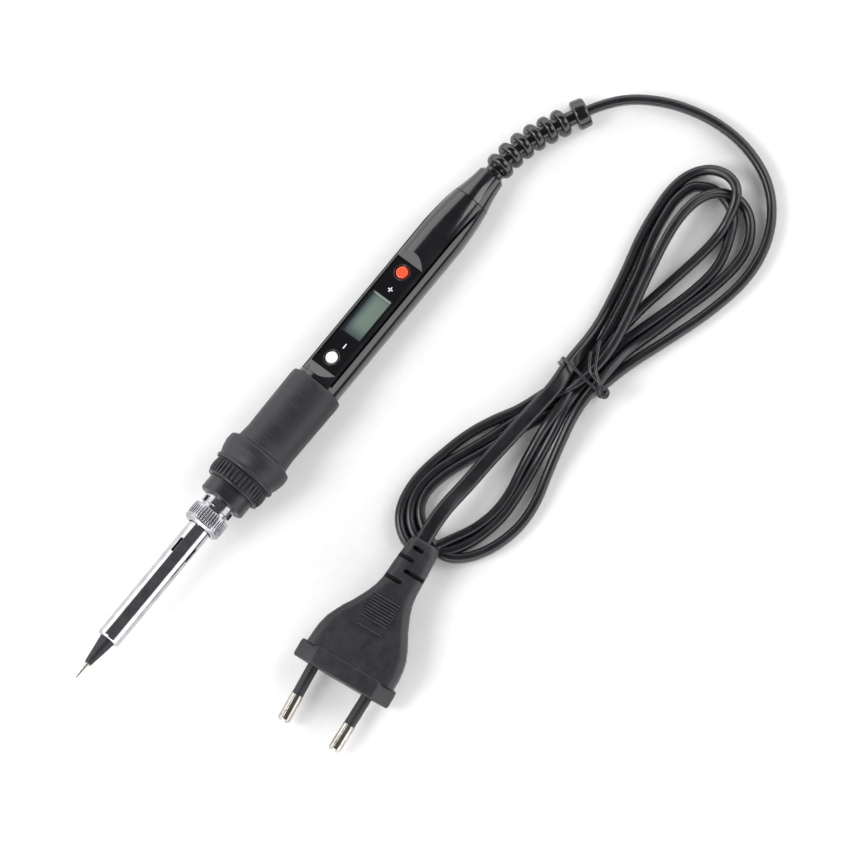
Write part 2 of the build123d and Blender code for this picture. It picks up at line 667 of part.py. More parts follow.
with BuildPart() as switch_bodies:
    half = SWITCH_SIZE / 2
    for station in (MINUS_STATION, PLUS_STATION):
        block((station - half, station + half), (-half, half), (BOARD_THICKNESS, switch_top))
        post(
            station,
            0,
            (plunger_foot - BUTTON_TRAVEL - SEAT_GAP, switch_top + 1),
            PLUNGER_RADIUS + SLIDING_GAP,
            Mode.SUBTRACT,
        )
finish(switch_bodies, "switch_bodies")

for station, hand in ((MINUS_STATION, "minus"), (PLUS_STATION, "plus")):
    with BuildPart() as button:
        post(station, 0, (button_foot, button_foot + BUTTON_FLANGE_THICKNESS), BUTTON_FLANGE_RADIUS)
        post(station, 0, (button_foot, FLAT_UP + BUTTON_STANDS_OUT), BUTTON_RADIUS)
        top_rim = button.edges().filter_by(GeomType.CIRCLE).sort_by(Axis(at(0), IRON.z_dir))[-1]
        fillet(top_rim, radius=BUTTON_STANDS_OUT)
    finish(button, hand + "_button")
    with BuildPart() as plunger:
        post(station, 0, (plunger_foot, button_foot), PLUNGER_RADIUS)
    finish(plunger, hand + "_plunger")

# ================================================================ parts on the board
under = -BOARD_CLEARANCE
chip_start = BOARD_END - CHIP_BEFORE_END
under_lengths = (TRIAC_SIZE[0], CAPACITOR_SIZE[0], ROUND_CAPACITOR_LENGTH, FUSE_LENGTH)
under_gap = (BOARD_END - BOARD_START - sum(under_lengths)) / (len(under_lengths) + 1)
triac_start = BOARD_START + under_gap
capacitor_start = triac_start + TRIAC_SIZE[0] + under_gap
round_start = capacitor_start + CAPACITOR_SIZE[0] + under_gap
fuse_start = round_start + ROUND_CAPACITOR_LENGTH + under_gap


def centred(size):
    """The (low, high) pair of a width that is centred on the axis."""
    return (-size / 2, size / 2)


with BuildPart() as controller_chip:
    block(
        (chip_start, chip_start + CHIP_SIZE[0]),
        centred(CHIP_SIZE[1]),
        (BOARD_THICKNESS, BOARD_THICKNESS + CHIP_SIZE[2]),
    )
finish(controller_chip, "controller_chip")

with BuildPart() as triac:
    block(
        (triac_start, triac_start + TRIAC_SIZE[0]),
        centred(TRIAC_SIZE[1]),
        (under - TRIAC_SIZE[2], under),
    )
finish(triac, "triac")

with BuildPart() as dropper_capacitor:
    block(
        (capacitor_start, capacitor_start + CAPACITOR_SIZE[0]),
        centred(CAPACITOR_SIZE[1]),
        (under - CAPACITOR_SIZE[2], under),
    )
finish(dropper_capacitor, "dropper_capacitor")

with BuildPart() as smoothing_capacitor:
    round_span = (round_start, round_start + ROUND_CAPACITOR_LENGTH)
    rod(round_span, 0, under - ROUND_CAPACITOR_RADIUS, ROUND_CAPACITOR_RADIUS)
finish(smoothing_capacitor, "smoothing_capacitor")

with BuildPart() as fuse:
    rod((fuse_start, fuse_start + FUSE_LENGTH), 0, under - FUSE_RADIUS, FUSE_RADIUS)
finish(fuse, "fuse")

with BuildPart() as resistors:
    for station in RESISTOR_STATIONS:
        resistor_end = at(station, -RESISTOR_LENGTH / 2, BOARD_THICKNESS + RESISTOR_RADIUS)
        with BuildSketch(Plane(origin=resistor_end, z_dir=IRON.y_dir)):
            Circle(RESISTOR_RADIUS)
        extrude(amount=RESISTOR_LENGTH)
finish(resistors, "resistors")

# ================================================================ wiring inside
lead_places = (
    (-LEAD_OFFSET, -LEAD_OFFSET, -3.0),
    (-LEAD_OFFSET, LEAD_OFFSET, -1.0),
    (LEAD_OFFSET, LEAD_OFFSET, 1.0),
    (LEAD_OFFSET, -LEAD_OFFSET, 3.0),
)
with BuildPart() as heater_leads:
    for side, up, board_side in lead_places:
        board_up = BOARD_THICKNESS + LEAD_RADIUS
        wire(
            [
                (HEATER_END, side, up),
                (HEATER_END + LEAD_STRAIGHT, side, up),
                (BOARD_START - 10, board_side, board_up),
                (MINUS_STATION - SWITCH_SIZE / 2 - 2 * LEAD_RADIUS, board_side, board_up),
            ],
            LEAD_BEND_RADIUS,
            LEAD_RADIUS,
        )
finish(heater_leads, "heater_leads")

with BuildPart() as lead_sleeves:
    for side, up, _ in lead_places:
        with BuildSketch(across(HEATER_END + 2 * LEAD_RADIUS)):
            with Locations((side, up)):
                Circle(LEAD_RADIUS + SLEEVE_WALL)
                Circle(LEAD_RADIUS + SEAT_GAP / 2, mode=Mode.SUBTRACT)
        extrude(amount=SLEEVE_LENGTH)
finish(lead_sleeves, "lead_sleeves")

root_start = SEAM_STATION + SPIGOT_LENGTH + 2.5 * SEAT_GAP
with BuildPart() as mains_wires:
    for hand in (-1, 1):
        wire_up = BOARD_THICKNESS + MAINS_WIRE_RADIUS + SEAT_GAP / 2
        wire(
            [
                (root_start, hand * MAINS_WIRE_OFFSET, 0),
                (SEAM_STATION - MAINS_WIRE_BEND, hand * MAINS_WIRE_OFFSET, 0),
                (BOARD_END + 1.5, hand * MAINS_WIRE_SPREAD, wire_up),
                (BOARD_END - 3.5, hand * MAINS_WIRE_SPREAD, wire_up),
            ],
            MAINS_WIRE_BEND,
            MAINS_WIRE_RADIUS,
        )
finish(mains_wires, "mains_wires")

# ================================================================ tail cap
root_end = root_start + RELIEF_ROOT_LENGTH
root_radius = RELIEF_CORE_RADIUS + RELIEF_ROOT_STEP
with BuildPart() as tail_cap:
    cap_start = SEAM_STATION + 1.5 * SEAT_GAP
    with BuildSketch(IRON):
        with BuildLine():
            Polyline(
                (TAIL_END - 0.9, TAIL_RADIUS - 0.05),
                (TAIL_END, TAIL_RADIUS - 0.9),
                (TAIL_END, RELIEF_CORE_RADIUS + SEAT_GAP),
                (root_end + SEAT_GAP, RELIEF_CORE_RADIUS + SEAT_GAP),
                (root_end + SEAT_GAP, root_radius + SEAT_GAP),
                (root_start - SEAT_GAP, root_radius + SEAT_GAP),
                (root_start - SEAT_GAP, SPIGOT_RADIUS + SEAT_GAP),
                (cap_start, SPIGOT_RADIUS + SEAT_GAP),
                (cap_start, SEAM_RADIUS - 0.05),
            )
            ThreePointArc(
                (cap_start, SEAM_RADIUS - 0.05),
                (cap_start + 4.2, (SEAM_RADIUS + TAIL_RADIUS) / 2 - 0.2),
                (TAIL_END - 0.9, TAIL_RADIUS - 0.05),
            )
        make_face()
    revolve(axis=IRON_AXIS)
finish(tail_cap, "tail_cap")

# ================================================================ strain relief
RELIEF = Plane(origin=at(TAIL_END), x_dir=LEVEL, z_dir=RISE)
with BuildLine(RELIEF) as relief_line:
    straight = Line((0, 0), (RELIEF_STRAIGHT, 0))
    bend = JernArc(straight @ 1, straight % 1, RELIEF_BEND_RADIUS, -RELIEF_BEND)
    ease = JernArc(bend @ 1, bend % 1, RELIEF_EASE_RADIUS, -RELIEF_EASE)
relief_path = relief_line.wires()[0]
relief_length = relief_path.length


def relief_plane(distance):
    """The plane across the strain relief at a distance from the tail cap."""
    place = relief_path.position_at(distance / relief_length)
    along = relief_path.tangent_at(distance / relief_length)
    return Plane(origin=place, x_dir=along.cross(RISE), z_dir=along)


with BuildPart() as strain_relief:
    turn(
        (root_start, 0),
        (root_start, root_radius),
        (root_end, root_radius),
        (root_end, RELIEF_CORE_RADIUS),
        (TAIL_END, RELIEF_CORE_RADIUS),
        (TAIL_END, 0),
    )
    with BuildSketch(relief_plane(0)):
        Circle(RELIEF_CORE_RADIUS)
    sweep(path=relief_path)
    for number in range(RELIEF_RIBS):
        rib_start = RELIEF_FIRST_RIB + number * RELIEF_RIB_PITCH - RELIEF_RIB_THICKNESS / 2
        with BuildSketch(relief_plane(rib_start)):
            Circle(RELIEF_RIB_RADIUS)
        extrude(amount=RELIEF_RIB_THICKNESS)
        web_side = RELIEF_RIB_RADIUS - RELIEF_WEB[0] / 2
        if number % 2 == 0:
            web_side = -web_side
        with BuildSketch(relief_plane(rib_start + RELIEF_RIB_THICKNESS - 0.2)):
            with Locations((web_side, 0)):
                Rectangle(*RELIEF_WEB)
            Circle(RELIEF_RIB_RADIUS - 0.1, mode=Mode.INTERSECT)
        extrude(amount=RELIEF_RIB_PITCH - RELIEF_RIB_THICKNESS + 0.4)
    with BuildSketch(relief_plane(relief_length).offset(-RELIEF_COLLAR_LENGTH)):
        Circle(RELIEF_COLLAR_RADIUS)
    extrude(amount=RELIEF_COLLAR_LENGTH, taper=3)
finish(strain_relief, "strain_relief")

# ================================================================ plug
heading = radians(PLUG_HEADING)
tilt = radians(PLUG_TILT)
plug_axis = Vector(cos(heading) * cos(tilt), sin(heading) * cos(tilt), sin(tilt))
plug_up = Vector(-cos(heading) * sin(tilt), -sin(heading) * sin(tilt), cos(tilt))
PLUG = Plane(
    origin=(PLUG_FACE[0], PLUG_FACE[1], PLUG_HEIGHT / 2 * cos(tilt)),
    x_dir=plug_axis,
    z_dir=plug_up,
)


def plug_point(along, side=0.0, up=0.0):
    """A point of the plug's own frame, measured from its pin face."""
    return PLUG.from_local_coords(Vector(along, side, up))


def plug_section(along):
    """The plane across the plug: X to the side, Y up."""
    return Plane(origin=plug_point(along), x_dir=PLUG.y_dir, z_dir=PLUG.x_dir)


def pin_plane(hand):
    """The plane across a pin at the pin face: the pins lean towards each other."""
    root = plug_point(0, hand * PIN_SPACING / 2)
    end = plug_point(-PIN_LENGTH, hand * PIN_TIP_SPACING / 2)
    return Plane(origin=root, x_dir=PLUG.z_dir, z_dir=end - root)


def pin_rod(hand, reach, radius, mode=Mode.ADD, bore=0.0):
    """A round length of a pin between two distances out of the pin face."""
    with BuildSketch(pin_plane(hand).offset(reach[0])) as end:
        Circle(radius)
        if bore:
            Circle(bore, mode=Mode.SUBTRACT)
    extrude(end.sketch, amount=reach[1] - reach[0], mode=mode)


def pin_face_outline(width, height, corner):
    """The plug's six-sided face."""
    with BuildSketch(plug_section(0)) as face:
        with BuildLine():
            FilletPolyline(
                (-width / 2, 0),
                (-width / 2 + height / 2, height / 2),
                (width / 2 - height / 2, height / 2),
                (width / 2, 0),
                (width / 2 - height / 2, -height / 2),
                (-width / 2 + height / 2, -height / 2),
                radius=corner,
                close=True,
            )
        make_face()
    return face.sketch


bridge_span = (BRIDGE_START, BRIDGE_START + BRIDGE_LENGTH)
grip_sections = (
    (PLUG_FLANGE_LENGTH, PLUG_WIDTH - 5.0, PLUG_HEIGHT - 1.2),
    (PLUG_FLANGE_LENGTH + 0.3 * PLUG_GRIP_LENGTH, PLUG_WIDTH - 7.5, PLUG_HEIGHT - 1.4),
    (PLUG_FLANGE_LENGTH + 0.6 * PLUG_GRIP_LENGTH, PLUG_WIDTH - 15.0, PLUG_HEIGHT - 2.2),
    (PLUG_BODY_LENGTH, 2 * PLUG_NECK_RADIUS + 2.8, PLUG_HEIGHT - 3.8),
)

with BuildPart() as plug_body:
    extrude(pin_face_outline(PLUG_WIDTH, PLUG_HEIGHT, 2.2), amount=PLUG_FLANGE_LENGTH)
    for along, width, height in grip_sections:
        with BuildSketch(plug_section(along)):
            RectangleRounded(width, height, 0.3 * height)
    loft()
    with BuildSketch(plug_section(PLUG_BODY_LENGTH)):
        Circle(PLUG_NECK_RADIUS)
    extrude(amount=PLUG_LENGTH - PLUG_BODY_LENGTH)
    for number in range(3):
        slot_start = PLUG_BODY_LENGTH + 1.6 + number * NECK_SLOT_PITCH
        for hand in (-1, 1):
            shift = 0 if hand > 0 else NECK_SLOT_PITCH / 2
            block(
                (slot_start + shift, slot_start + shift + NECK_SLOT_WIDTH),
                sorted((hand * NECK_WEB_HALF, hand * (PLUG_NECK_RADIUS + 1))),
                (-PLUG_NECK_RADIUS, PLUG_NECK_RADIUS),
                Mode.SUBTRACT,
                PLUG,
            )
    block(
        (bridge_span[0] - SEAT_GAP, bridge_span[1] + SEAT_GAP),
        (-BRIDGE_WIDTH / 2 - SEAT_GAP, BRIDGE_WIDTH / 2 + SEAT_GAP),
        (-BRIDGE_HEIGHT / 2 - SEAT_GAP, BRIDGE_HEIGHT / 2 + SEAT_GAP),
        Mode.SUBTRACT,
        PLUG,
    )
    for hand in (-1, 1):
        pin_rod(hand, (-BRIDGE_START - 1, 1), PIN_SLEEVE_RADIUS + SEAT_GAP / 2, Mode.SUBTRACT)
        pin_rod(hand, (-bridge_span[1], 0), PIN_CORE_RADIUS + SEAT_GAP / 2, Mode.SUBTRACT)
finish(plug_body, "plug_body")

with BuildPart() as plug_bridge:
    block(
        bridge_span,
        (-BRIDGE_WIDTH / 2, BRIDGE_WIDTH / 2),
        (-BRIDGE_HEIGHT / 2, BRIDGE_HEIGHT / 2),
        frame=PLUG,
    )
    for hand in (-1, 1):
        pin_rod(hand, (-bridge_span[1] - 1, 0), PIN_CORE_RADIUS + SEAT_GAP / 2, Mode.SUBTRACT)
finish(plug_bridge, "plug_bridge")

with BuildPart() as plug_pins:
    for hand in (-1, 1):
        pin_rod(hand, (-PIN_ROOT, PIN_SLEEVE_LENGTH), PIN_CORE_RADIUS)
        pin_rod(hand, (PIN_SLEEVE_LENGTH, PIN_LENGTH - PIN_POINT_LENGTH), PIN_RADIUS)
        with BuildSketch(pin_plane(hand).offset(PIN_LENGTH - PIN_POINT_LENGTH)):
            Circle(PIN_RADIUS)
        extrude(amount=PIN_POINT_LENGTH, taper=42)
finish(plug_pins, "plug_pins")

with BuildPart() as pin_sleeves:
    for hand in (-1, 1):
        pin_rod(
            hand,
            (-BRIDGE_START + SEAT_GAP, PIN_SLEEVE_LENGTH - SEAT_GAP / 2),
            PIN_SLEEVE_RADIUS,
            bore=PIN_CORE_RADIUS + 0.02,
        )
finish(pin_sleeves, "pin_sleeves")

with BuildPart() as plug_crimps:
    for hand in (-1, 1):
        pin_rod(hand, (-bridge_span[1], -PIN_ROOT - SEAT_GAP), PIN_CORE_RADIUS - 2 * SEAT_GAP)
finish(plug_crimps, "plug_crimps")

# ================================================================ cord
cord_start = relief_path.position_at(1)
cord_exit = relief_path.tangent_at(1)
BENCH_HEIGHT = CORD_WIDTH / 2    # middle of a cord that stands on its edge on the bench
LEAD_ROUTE = [              # x, y and how far the cord is lifted off the bench
    (149.3, -25.2, 0.5),
    (154.2, -39.0, 0.0),
    (154.6, -53.5, 0.1),
    (149.6, -67.0, 0.0),
    (138.6, -76.0, 0.1),
    (124.5, -79.2, 0.0),
    (108.5, -76.6, 0.1),
    (93.0, -71.8, 0.0),
    (79.0, -67.2, 0.5),
    (68.5, -65.4, 1.1),
]
PLUG_ROUTE = [              # x, y and how far its middle is over the hank's lower layer
    (24.0, -53.2, 3.2),
    (42.0, -54.3, 1.7),
    (58.0, -55.4, 2.6),
    (66.0, -56.0, 3.6),
]


def corner_radii(name, points):
    """Each corner's radius: 0.45 of its shorter run over the tangent of half its turn."""
    radii = []
    for before, corner, after in zip(points, points[1:], points[2:]):
        arriving = corner - before
        leaving = after - corner
        turn_angle = radians(arriving.get_angle(leaving))
        radii.append(0.45 * min(arriving.length, leaving.length) / tan(turn_angle / 2))
    print(name, "corner radii:", [round(radius, 1) for radius in radii])
    return radii


def flat_cord(name, points, upright):
    """A flat cord swept along straight runs joined by tangent arcs."""
    with BuildLine() as route:
        FilletPolyline(*points, radius=corner_radii(name, points))
    start_along = points[1] - points[0]
    across_cord = start_along.cross(Vector(0, 0, 1))
    with BuildSketch(Plane(origin=points[0], x_dir=across_cord, z_dir=start_along)) as end:
        SlotOverall(CORD_WIDTH, CORD_THICKNESS, rotation=90 if upright else 0)
    path = route.wires()[0]
    sweep(end.sketch, path=path)
    return path.length


section_area = (CORD_WIDTH - CORD_THICKNESS) * CORD_THICKNESS + pi * CORD_THICKNESS ** 2 / 4

with BuildPart() as cord:
    lead_points = [cord_start, cord_start + cord_exit * EXIT_RUN]
    lead_points += [Vector(x, y, BENCH_HEIGHT + lift) for x, y, lift in LEAD_ROUTE]
    lead_length = flat_cord("cord", lead_points, True)
print("cord length", round(lead_length, 1), "volume over section x length",
      round(cord.part.volume / (section_area * lead_length), 4))
finish(cord, "cord")

with BuildPart() as plug_lead:
    plug_points = [plug_point(PLUG_LENGTH), plug_point(PLUG_LENGTH + EXIT_RUN)]
    plug_points += [Vector(x, y, CORD_WIDTH + lift) for x, y, lift in PLUG_ROUTE]
    plug_lead_length = flat_cord("plug_lead", plug_points, False)
print("plug lead length", round(plug_lead_length, 1), "volume over section x length",
      round(plug_lead.part.volume / (section_area * plug_lead_length), 4))
finish(plug_lead, "plug_lead")

# ================================================================ hank
UPPER_OUTSIDE = [
    (76, -52.8), (88, -50.2), (106, -46.4), (122, -43.4), (136, -44), (143.6, -51), (143.5, -60),
    (138, -69), (128, -74.4), (114, -73.6), (98, -69.6), (86, -67.4), (76, -66.8),
]
UPPER_INSIDE = [
    (103, -58.6), (113, -55.8), (125, -54.2), (133, -55.6), (135.4, -58.8), (130, -61.4), (118, -61.2),
]
LOWER_OUTSIDE = [
    (61, -52.6), (50, -49.6), (36, -43.4), (22, -40), (8, -39.8), (-1.4, -45.5), (-3.4, -54),
    (0.5, -64.8), (9, -71.6), (23, -74.6), (39, -71.6), (52, -67.8), (61, -67),
]
LOWER_INSIDE = [
    (48, -57.4), (34, -52.8), (22, -50), (12, -48.4), (7, -50.6), (6, -55), (9, -59.5), (19, -63.2),
    (32, -61.6),
]
PINCH = (50.0, 86.0)
PINCH_SIDES = (-67.4, -52.2)
PINCH_HEIGHTS = (1.0, 1.0 + 1.92 * CORD_WIDTH)


def lobe(outside, inside, height):
    """A flat ring of cord with a smooth outer and inner outline."""
    with BuildSketch() as ring:
        with BuildLine():
            Spline(*outside, periodic=True)
        make_face()
        with BuildLine():
            Spline(*inside, periodic=True)
        make_face(mode=Mode.SUBTRACT)
    extrude(ring.sketch, amount=height)


with BuildPart() as cord_hank:
    lobe(UPPER_OUTSIDE, UPPER_INSIDE, HANK_UPPER_LAYERS * CORD_WIDTH)
    lobe(LOWER_OUTSIDE, LOWER_INSIDE, CORD_WIDTH)
    with BuildSketch(Plane.XY.offset(PINCH_HEIGHTS[0])):
        with Locations((sum(PINCH) / 2, sum(PINCH_SIDES) / 2)):
            Rectangle(PINCH[1] - PINCH[0], PINCH_SIDES[1] - PINCH_SIDES[0])
    extrude(amount=PINCH_HEIGHTS[1] - PINCH_HEIGHTS[0])
finish(cord_hank, "cord_hank")

# ================================================================ twist tie
tie_width = PINCH_SIDES[1] - PINCH_SIDES[0] + 2 * SEAT_GAP
tie_height = PINCH_HEIGHTS[1] - PINCH_HEIGHTS[0] + 2 * SEAT_GAP
tie_middle = (sum(PINCH_SIDES) / 2, sum(PINCH_HEIGHTS) / 2)
TIE = Plane(origin=(TIE_STATION - TIE_WIRE, 0, 0), x_dir=(0, 1, 0), z_dir=(1, 0, 0))
with BuildPart() as twist_tie:
    with BuildSketch(TIE):
        with Locations(tie_middle):
            RectangleRounded(tie_width + 2 * TIE_WIRE, tie_height + 2 * TIE_WIRE, 1.2)
            Rectangle(tie_width, tie_height, mode=Mode.SUBTRACT)
    extrude(amount=2 * TIE_WIRE)
finish(twist_tie, "twist_tie")

# ================================================================ export
os.makedirs("parts", exist_ok=True)
for piece in pieces:
    export_step(piece, "parts/" + piece.label + ".step")
print(len(pieces), "pieces, pitch", round(degrees(PITCH), 3), "degrees")
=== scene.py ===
"""Soldering iron with a display handle and a hanked two-pin mains lead."""
import json
import logging
import math
from dataclasses import dataclass
from enum import Enum
from typing import Any, Optional, Sequence

import bmesh
import bpy
from mathutils import Matrix, Vector


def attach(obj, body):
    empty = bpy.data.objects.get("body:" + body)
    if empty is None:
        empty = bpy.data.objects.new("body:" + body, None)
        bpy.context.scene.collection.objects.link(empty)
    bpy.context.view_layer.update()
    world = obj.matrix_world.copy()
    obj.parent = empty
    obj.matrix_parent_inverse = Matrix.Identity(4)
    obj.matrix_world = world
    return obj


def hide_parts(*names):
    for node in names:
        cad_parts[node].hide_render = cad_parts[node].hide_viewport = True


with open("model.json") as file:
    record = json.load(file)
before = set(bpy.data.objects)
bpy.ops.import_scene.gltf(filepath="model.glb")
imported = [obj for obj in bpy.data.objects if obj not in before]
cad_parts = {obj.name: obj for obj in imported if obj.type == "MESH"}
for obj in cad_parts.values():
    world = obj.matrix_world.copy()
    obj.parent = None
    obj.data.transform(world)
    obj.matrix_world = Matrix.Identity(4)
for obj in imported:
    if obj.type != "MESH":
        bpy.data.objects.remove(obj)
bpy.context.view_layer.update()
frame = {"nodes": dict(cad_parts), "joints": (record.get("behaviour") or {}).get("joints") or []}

MM = 0.001
log = logging.getLogger("soldering_iron")

# Stations along the iron, in millimetres from the tip's point.
NUT_START = 59.0
TAIL_END = 198.5
# The plug lies on its flange and leans back on its neck.
PLUG_HEADING = 8.7
PLUG_TILT = 4.0
PLUG_HALF_HEIGHT = 6.7
PLUG_FACE = (-48.9, -61.6)
# The height of the display deck over the iron's axis, and the display's opening in the panel.
DECK_UP = 5.7
DISPLAY_START = 132.7
DISPLAY_LENGTH = 15.3

Point = Sequence[float]


# ------------------------------------------------------------------ helpers
def linear(code: str) -> tuple[float, float, float, float]:
    """Turn an sRGB hex code into the linear colour that a socket takes.

    Args:
        code: the colour, such as "#101015".

    Returns:
        Red, green, blue and a full alpha.
    """
    parts = [int(code[i:i + 2], 16) / 255 for i in (1, 3, 5)]
    out = [c / 12.92 if c <= 0.04045 else ((c + 0.055) / 1.055) ** 2.4 for c in parts]
    return (out[0], out[1], out[2], 1.0)


def add(tree: bpy.types.NodeTree, kind: str, settings: Optional[dict] = None,
        inputs: Optional[dict] = None) -> bpy.types.Node:
    """Add one node to a tree.

    Args:
        tree: the material's, world's or modifier's node tree.
        kind: the node's Blender type name.
        settings: the node's own properties.
        inputs: socket name or number to a value, or to a socket to link from.

    Returns:
        The new node.
    """
    node = tree.nodes.new(kind)
    for name, value in (settings or {}).items():
        setattr(node, name, value)
    for key, value in (inputs or {}).items():
        if isinstance(value, bpy.types.NodeSocket):
            tree.links.new(value, node.inputs[key])
        else:
            node.inputs[key].default_value = value
    return node


def rounded(corners: Sequence[Point], steps: int = 5) -> list[Vector]:
    """Round the corners of an open outline.

    Args:
        corners: (x, y) or (x, y, radius) points.
        steps: how many pieces each arc has.

    Returns:
        The outline's points, with an arc at each corner that has a radius.
    """
    out: list[Vector] = []
    for i, corner in enumerate(corners):
        here = Vector(corner[:2])
        if len(corner) < 3 or i in (0, len(corners) - 1):
            out.append(here)
            continue
        before = (Vector(corners[i - 1][:2]) - here).normalized()
        after = (Vector(corners[i + 1][:2]) - here).normalized()
        half = before.angle(after) / 2
        reach = corner[2] / math.tan(half)
        middle = here + (before + after).normalized() * corner[2] / math.sin(half)
        first, last = here + before * reach - middle, here + after * reach - middle
        turn = first.angle_signed(last)
        for k in range(steps + 1):
            angle = -turn * k / steps
            c, s = math.cos(angle), math.sin(angle)
            out.append(middle + Vector((first.x * c - first.y * s, first.x * s + first.y * c)))
    return out


@dataclass(frozen=True)
class Axes:
    """A frame of its own: an origin in metres and three unit axes."""

    origin: Vector
    x: Vector
    y: Vector
    z: Vector

    def at(self, a: float, b: float = 0.0, c: float = 0.0) -> Vector:
        """The point at a, b, c millimetres along the three axes."""
        return self.origin + (self.x * a + self.y * b + self.z * c) * MM

    def matrix(self) -> Matrix:
        """The matrix from this frame, in millimetres, to the shared one, in metres."""
        rows = Matrix((self.x * MM, self.y * MM, self.z * MM)).transposed().to_4x4()
        return Matrix.Translation(self.origin) @ rows

    def coordinates(self, tree: bpy.types.NodeTree) -> bpy.types.NodeSocket:
        """The surface's place in this frame, in metres, for a pattern that follows it."""
        turn = Matrix((self.x, self.y, self.z))
        place = add(tree, "ShaderNodeTexCoord")
        mapping = add(tree, "ShaderNodeMapping", {"vector_type": "POINT"}, {
            "Vector": place.outputs["Object"],
            "Location": -(turn @ self.origin),
            "Rotation": turn.to_euler(),
        })
        return mapping.outputs["Vector"]


def iron_axes() -> Axes:
    """The iron's own frame, from the joints that run along and across it."""
    joints = {joint["name"]: joint for joint in frame["joints"]}
    along = -Vector(joints["barrel_advance"]["axis"]).normalized()
    up = -Vector(joints["minus_press"]["axis"]).normalized()
    side = up.cross(along).normalized()
    nut = Vector(joints["nut_turn"]["pos_m"])
    return Axes(nut - along * NUT_START * MM, along, side, up)


IRON = iron_axes()


def plug_axes() -> Axes:
    """The plug's own frame: x from the pins to the neck, z out of its upper face."""
    heading, tilt = math.radians(PLUG_HEADING), math.radians(PLUG_TILT)
    level = Vector((math.cos(heading), math.sin(heading), 0.0))
    upright = Vector((0.0, 0.0, 1.0))
    along = level * math.cos(tilt) + upright * math.sin(tilt)
    up = upright * math.cos(tilt) - level * math.sin(tilt)
    origin = Vector((*PLUG_FACE, PLUG_HALF_HEIGHT * math.cos(tilt))) * MM
    return Axes(origin, along, up.cross(along), up)


PLUG = plug_axes()


def make_object(name: str, mesh: bpy.types.Mesh, material: bpy.types.Material) -> bpy.types.Object:
    """Put a mesh in the scene with one material.

    Args:
        name: the piece's name.
        mesh: its mesh, with its place in the shared frame.
        material: its material.

    Returns:
        The object, at the origin.
    """
    mesh.materials.clear()
    mesh.materials.append(material)
    obj = bpy.data.objects.new(name, mesh)
    bpy.context.scene.collection.objects.link(obj)
    return obj


def solid(name: str, points: Sequence[Point], faces: Sequence[Sequence[int]],
          material: bpy.types.Material, sharp: float = 35.0) -> bpy.types.Object:
    """Make an object from points in metres and faces, smooth but for its sharp edges.

    Args:
        name: the piece's name.
        points: its corners.
        faces: its faces, as corner numbers.
        material: its material.
        sharp: edges that turn more than this many degrees stay sharp.

    Returns:
        The object, at the origin.
    """
    mesh = bpy.data.meshes.new(name)
    mesh.from_pydata([tuple(p) for p in points], [], [tuple(f) for f in faces])
    shape = bmesh.new()
    shape.from_mesh(mesh)
    bmesh.ops.remove_doubles(shape, verts=shape.verts, dist=1e-7)
    bmesh.ops.recalc_face_normals(shape, faces=shape.faces)
    shape.to_mesh(mesh)
    shape.free()
    mesh.shade_smooth()
    mesh.set_sharp_from_angle(angle=math.radians(sharp))
    return make_object(name, mesh, material)


def rings(sections: Sequence[Sequence[Vector]], closed: bool = False) -> list[tuple[int, ...]]:
    """The faces that join rings of points, one after the other.

    Args:
        sections: the rings, each with as many points.
        closed: join the last ring to the first; otherwise both ends are flat faces.

    Returns:
        The faces, as numbers of points that are counted through all the rings.
    """
    count, faces = len(sections[0]), []
    total = len(sections)
    for i in range(total if closed else total - 1):
        j = (i + 1) % total
        for k in range(count):
            m = (k + 1) % count
            faces.append((i * count + k, i * count + m, j * count + m, j * count + k))
    if not closed:
        faces.append(tuple(range(count)))
        faces.append(tuple((total - 1) * count + k for k in range(count)))
    return faces


def skin(name: str, sections: Sequence[Sequence[Vector]], material: bpy.types.Material,
         sharp: float = 35.0, closed: bool = False) -> bpy.types.Object:
    """Make a solid whose skin runs over rings of points.

    Args:
        name: the piece's name.
        sections: the rings, in metres.
        material: its material.
        sharp: edges that turn more than this many degrees stay sharp.
        closed: the rings themselves go round, as on a turned piece.

    Returns:
        The object, at the origin.
    """
    points = [point for section in sections for point in section]
    return solid(name, points, rings(sections, closed), material, sharp)


def lathe(name: str, profile: Sequence[Point], axes: Axes, material: bpy.types.Material,
          steps: int = 96, place: bool = True) -> bpy.types.Object:
    """Turn a closed outline of (station, radius) millimetres about a frame's x axis.

    Args:
        name: the piece's name.
        profile: corners, with a third value where a corner is rounded.
        axes: the frame whose x axis is the turning axis.
        material: its material.
        steps: pieces round the circle.
        place: put it in the shared frame; otherwise it stays in millimetres.

    Returns:
        The turned piece.
    """
    corners = list(profile) + [profile[0]]
    outline = rounded(corners)[:-1]
    sections = []
    for k in range(steps):
        angle = math.tau * k / steps
        c, s = math.cos(angle), math.sin(angle)
        sections.append([Vector((p.x, p.y * c, p.y * s)) for p in outline])
    obj = skin(name, sections, material, 30.0, closed=True)
    if place:
        obj.data.transform(axes.matrix())
    return obj


def evaluated(obj: bpy.types.Object, name: str, material: bpy.types.Material) -> bpy.types.Object:
    """Turn an object with its modifiers into a plain mesh object, and remove the first.

    Args:
        obj: the object with live modifiers.
        name: the new piece's name.
        material: its material.

    Returns:
        The plain object.
    """
    graph = bpy.context.evaluated_depsgraph_get()
    graph.update()
    mesh = bpy.data.meshes.new_from_object(obj.evaluated_get(graph))
    bpy.data.objects.remove(obj)
    out = make_object(name, mesh, material)
    mesh.name = name
    return out


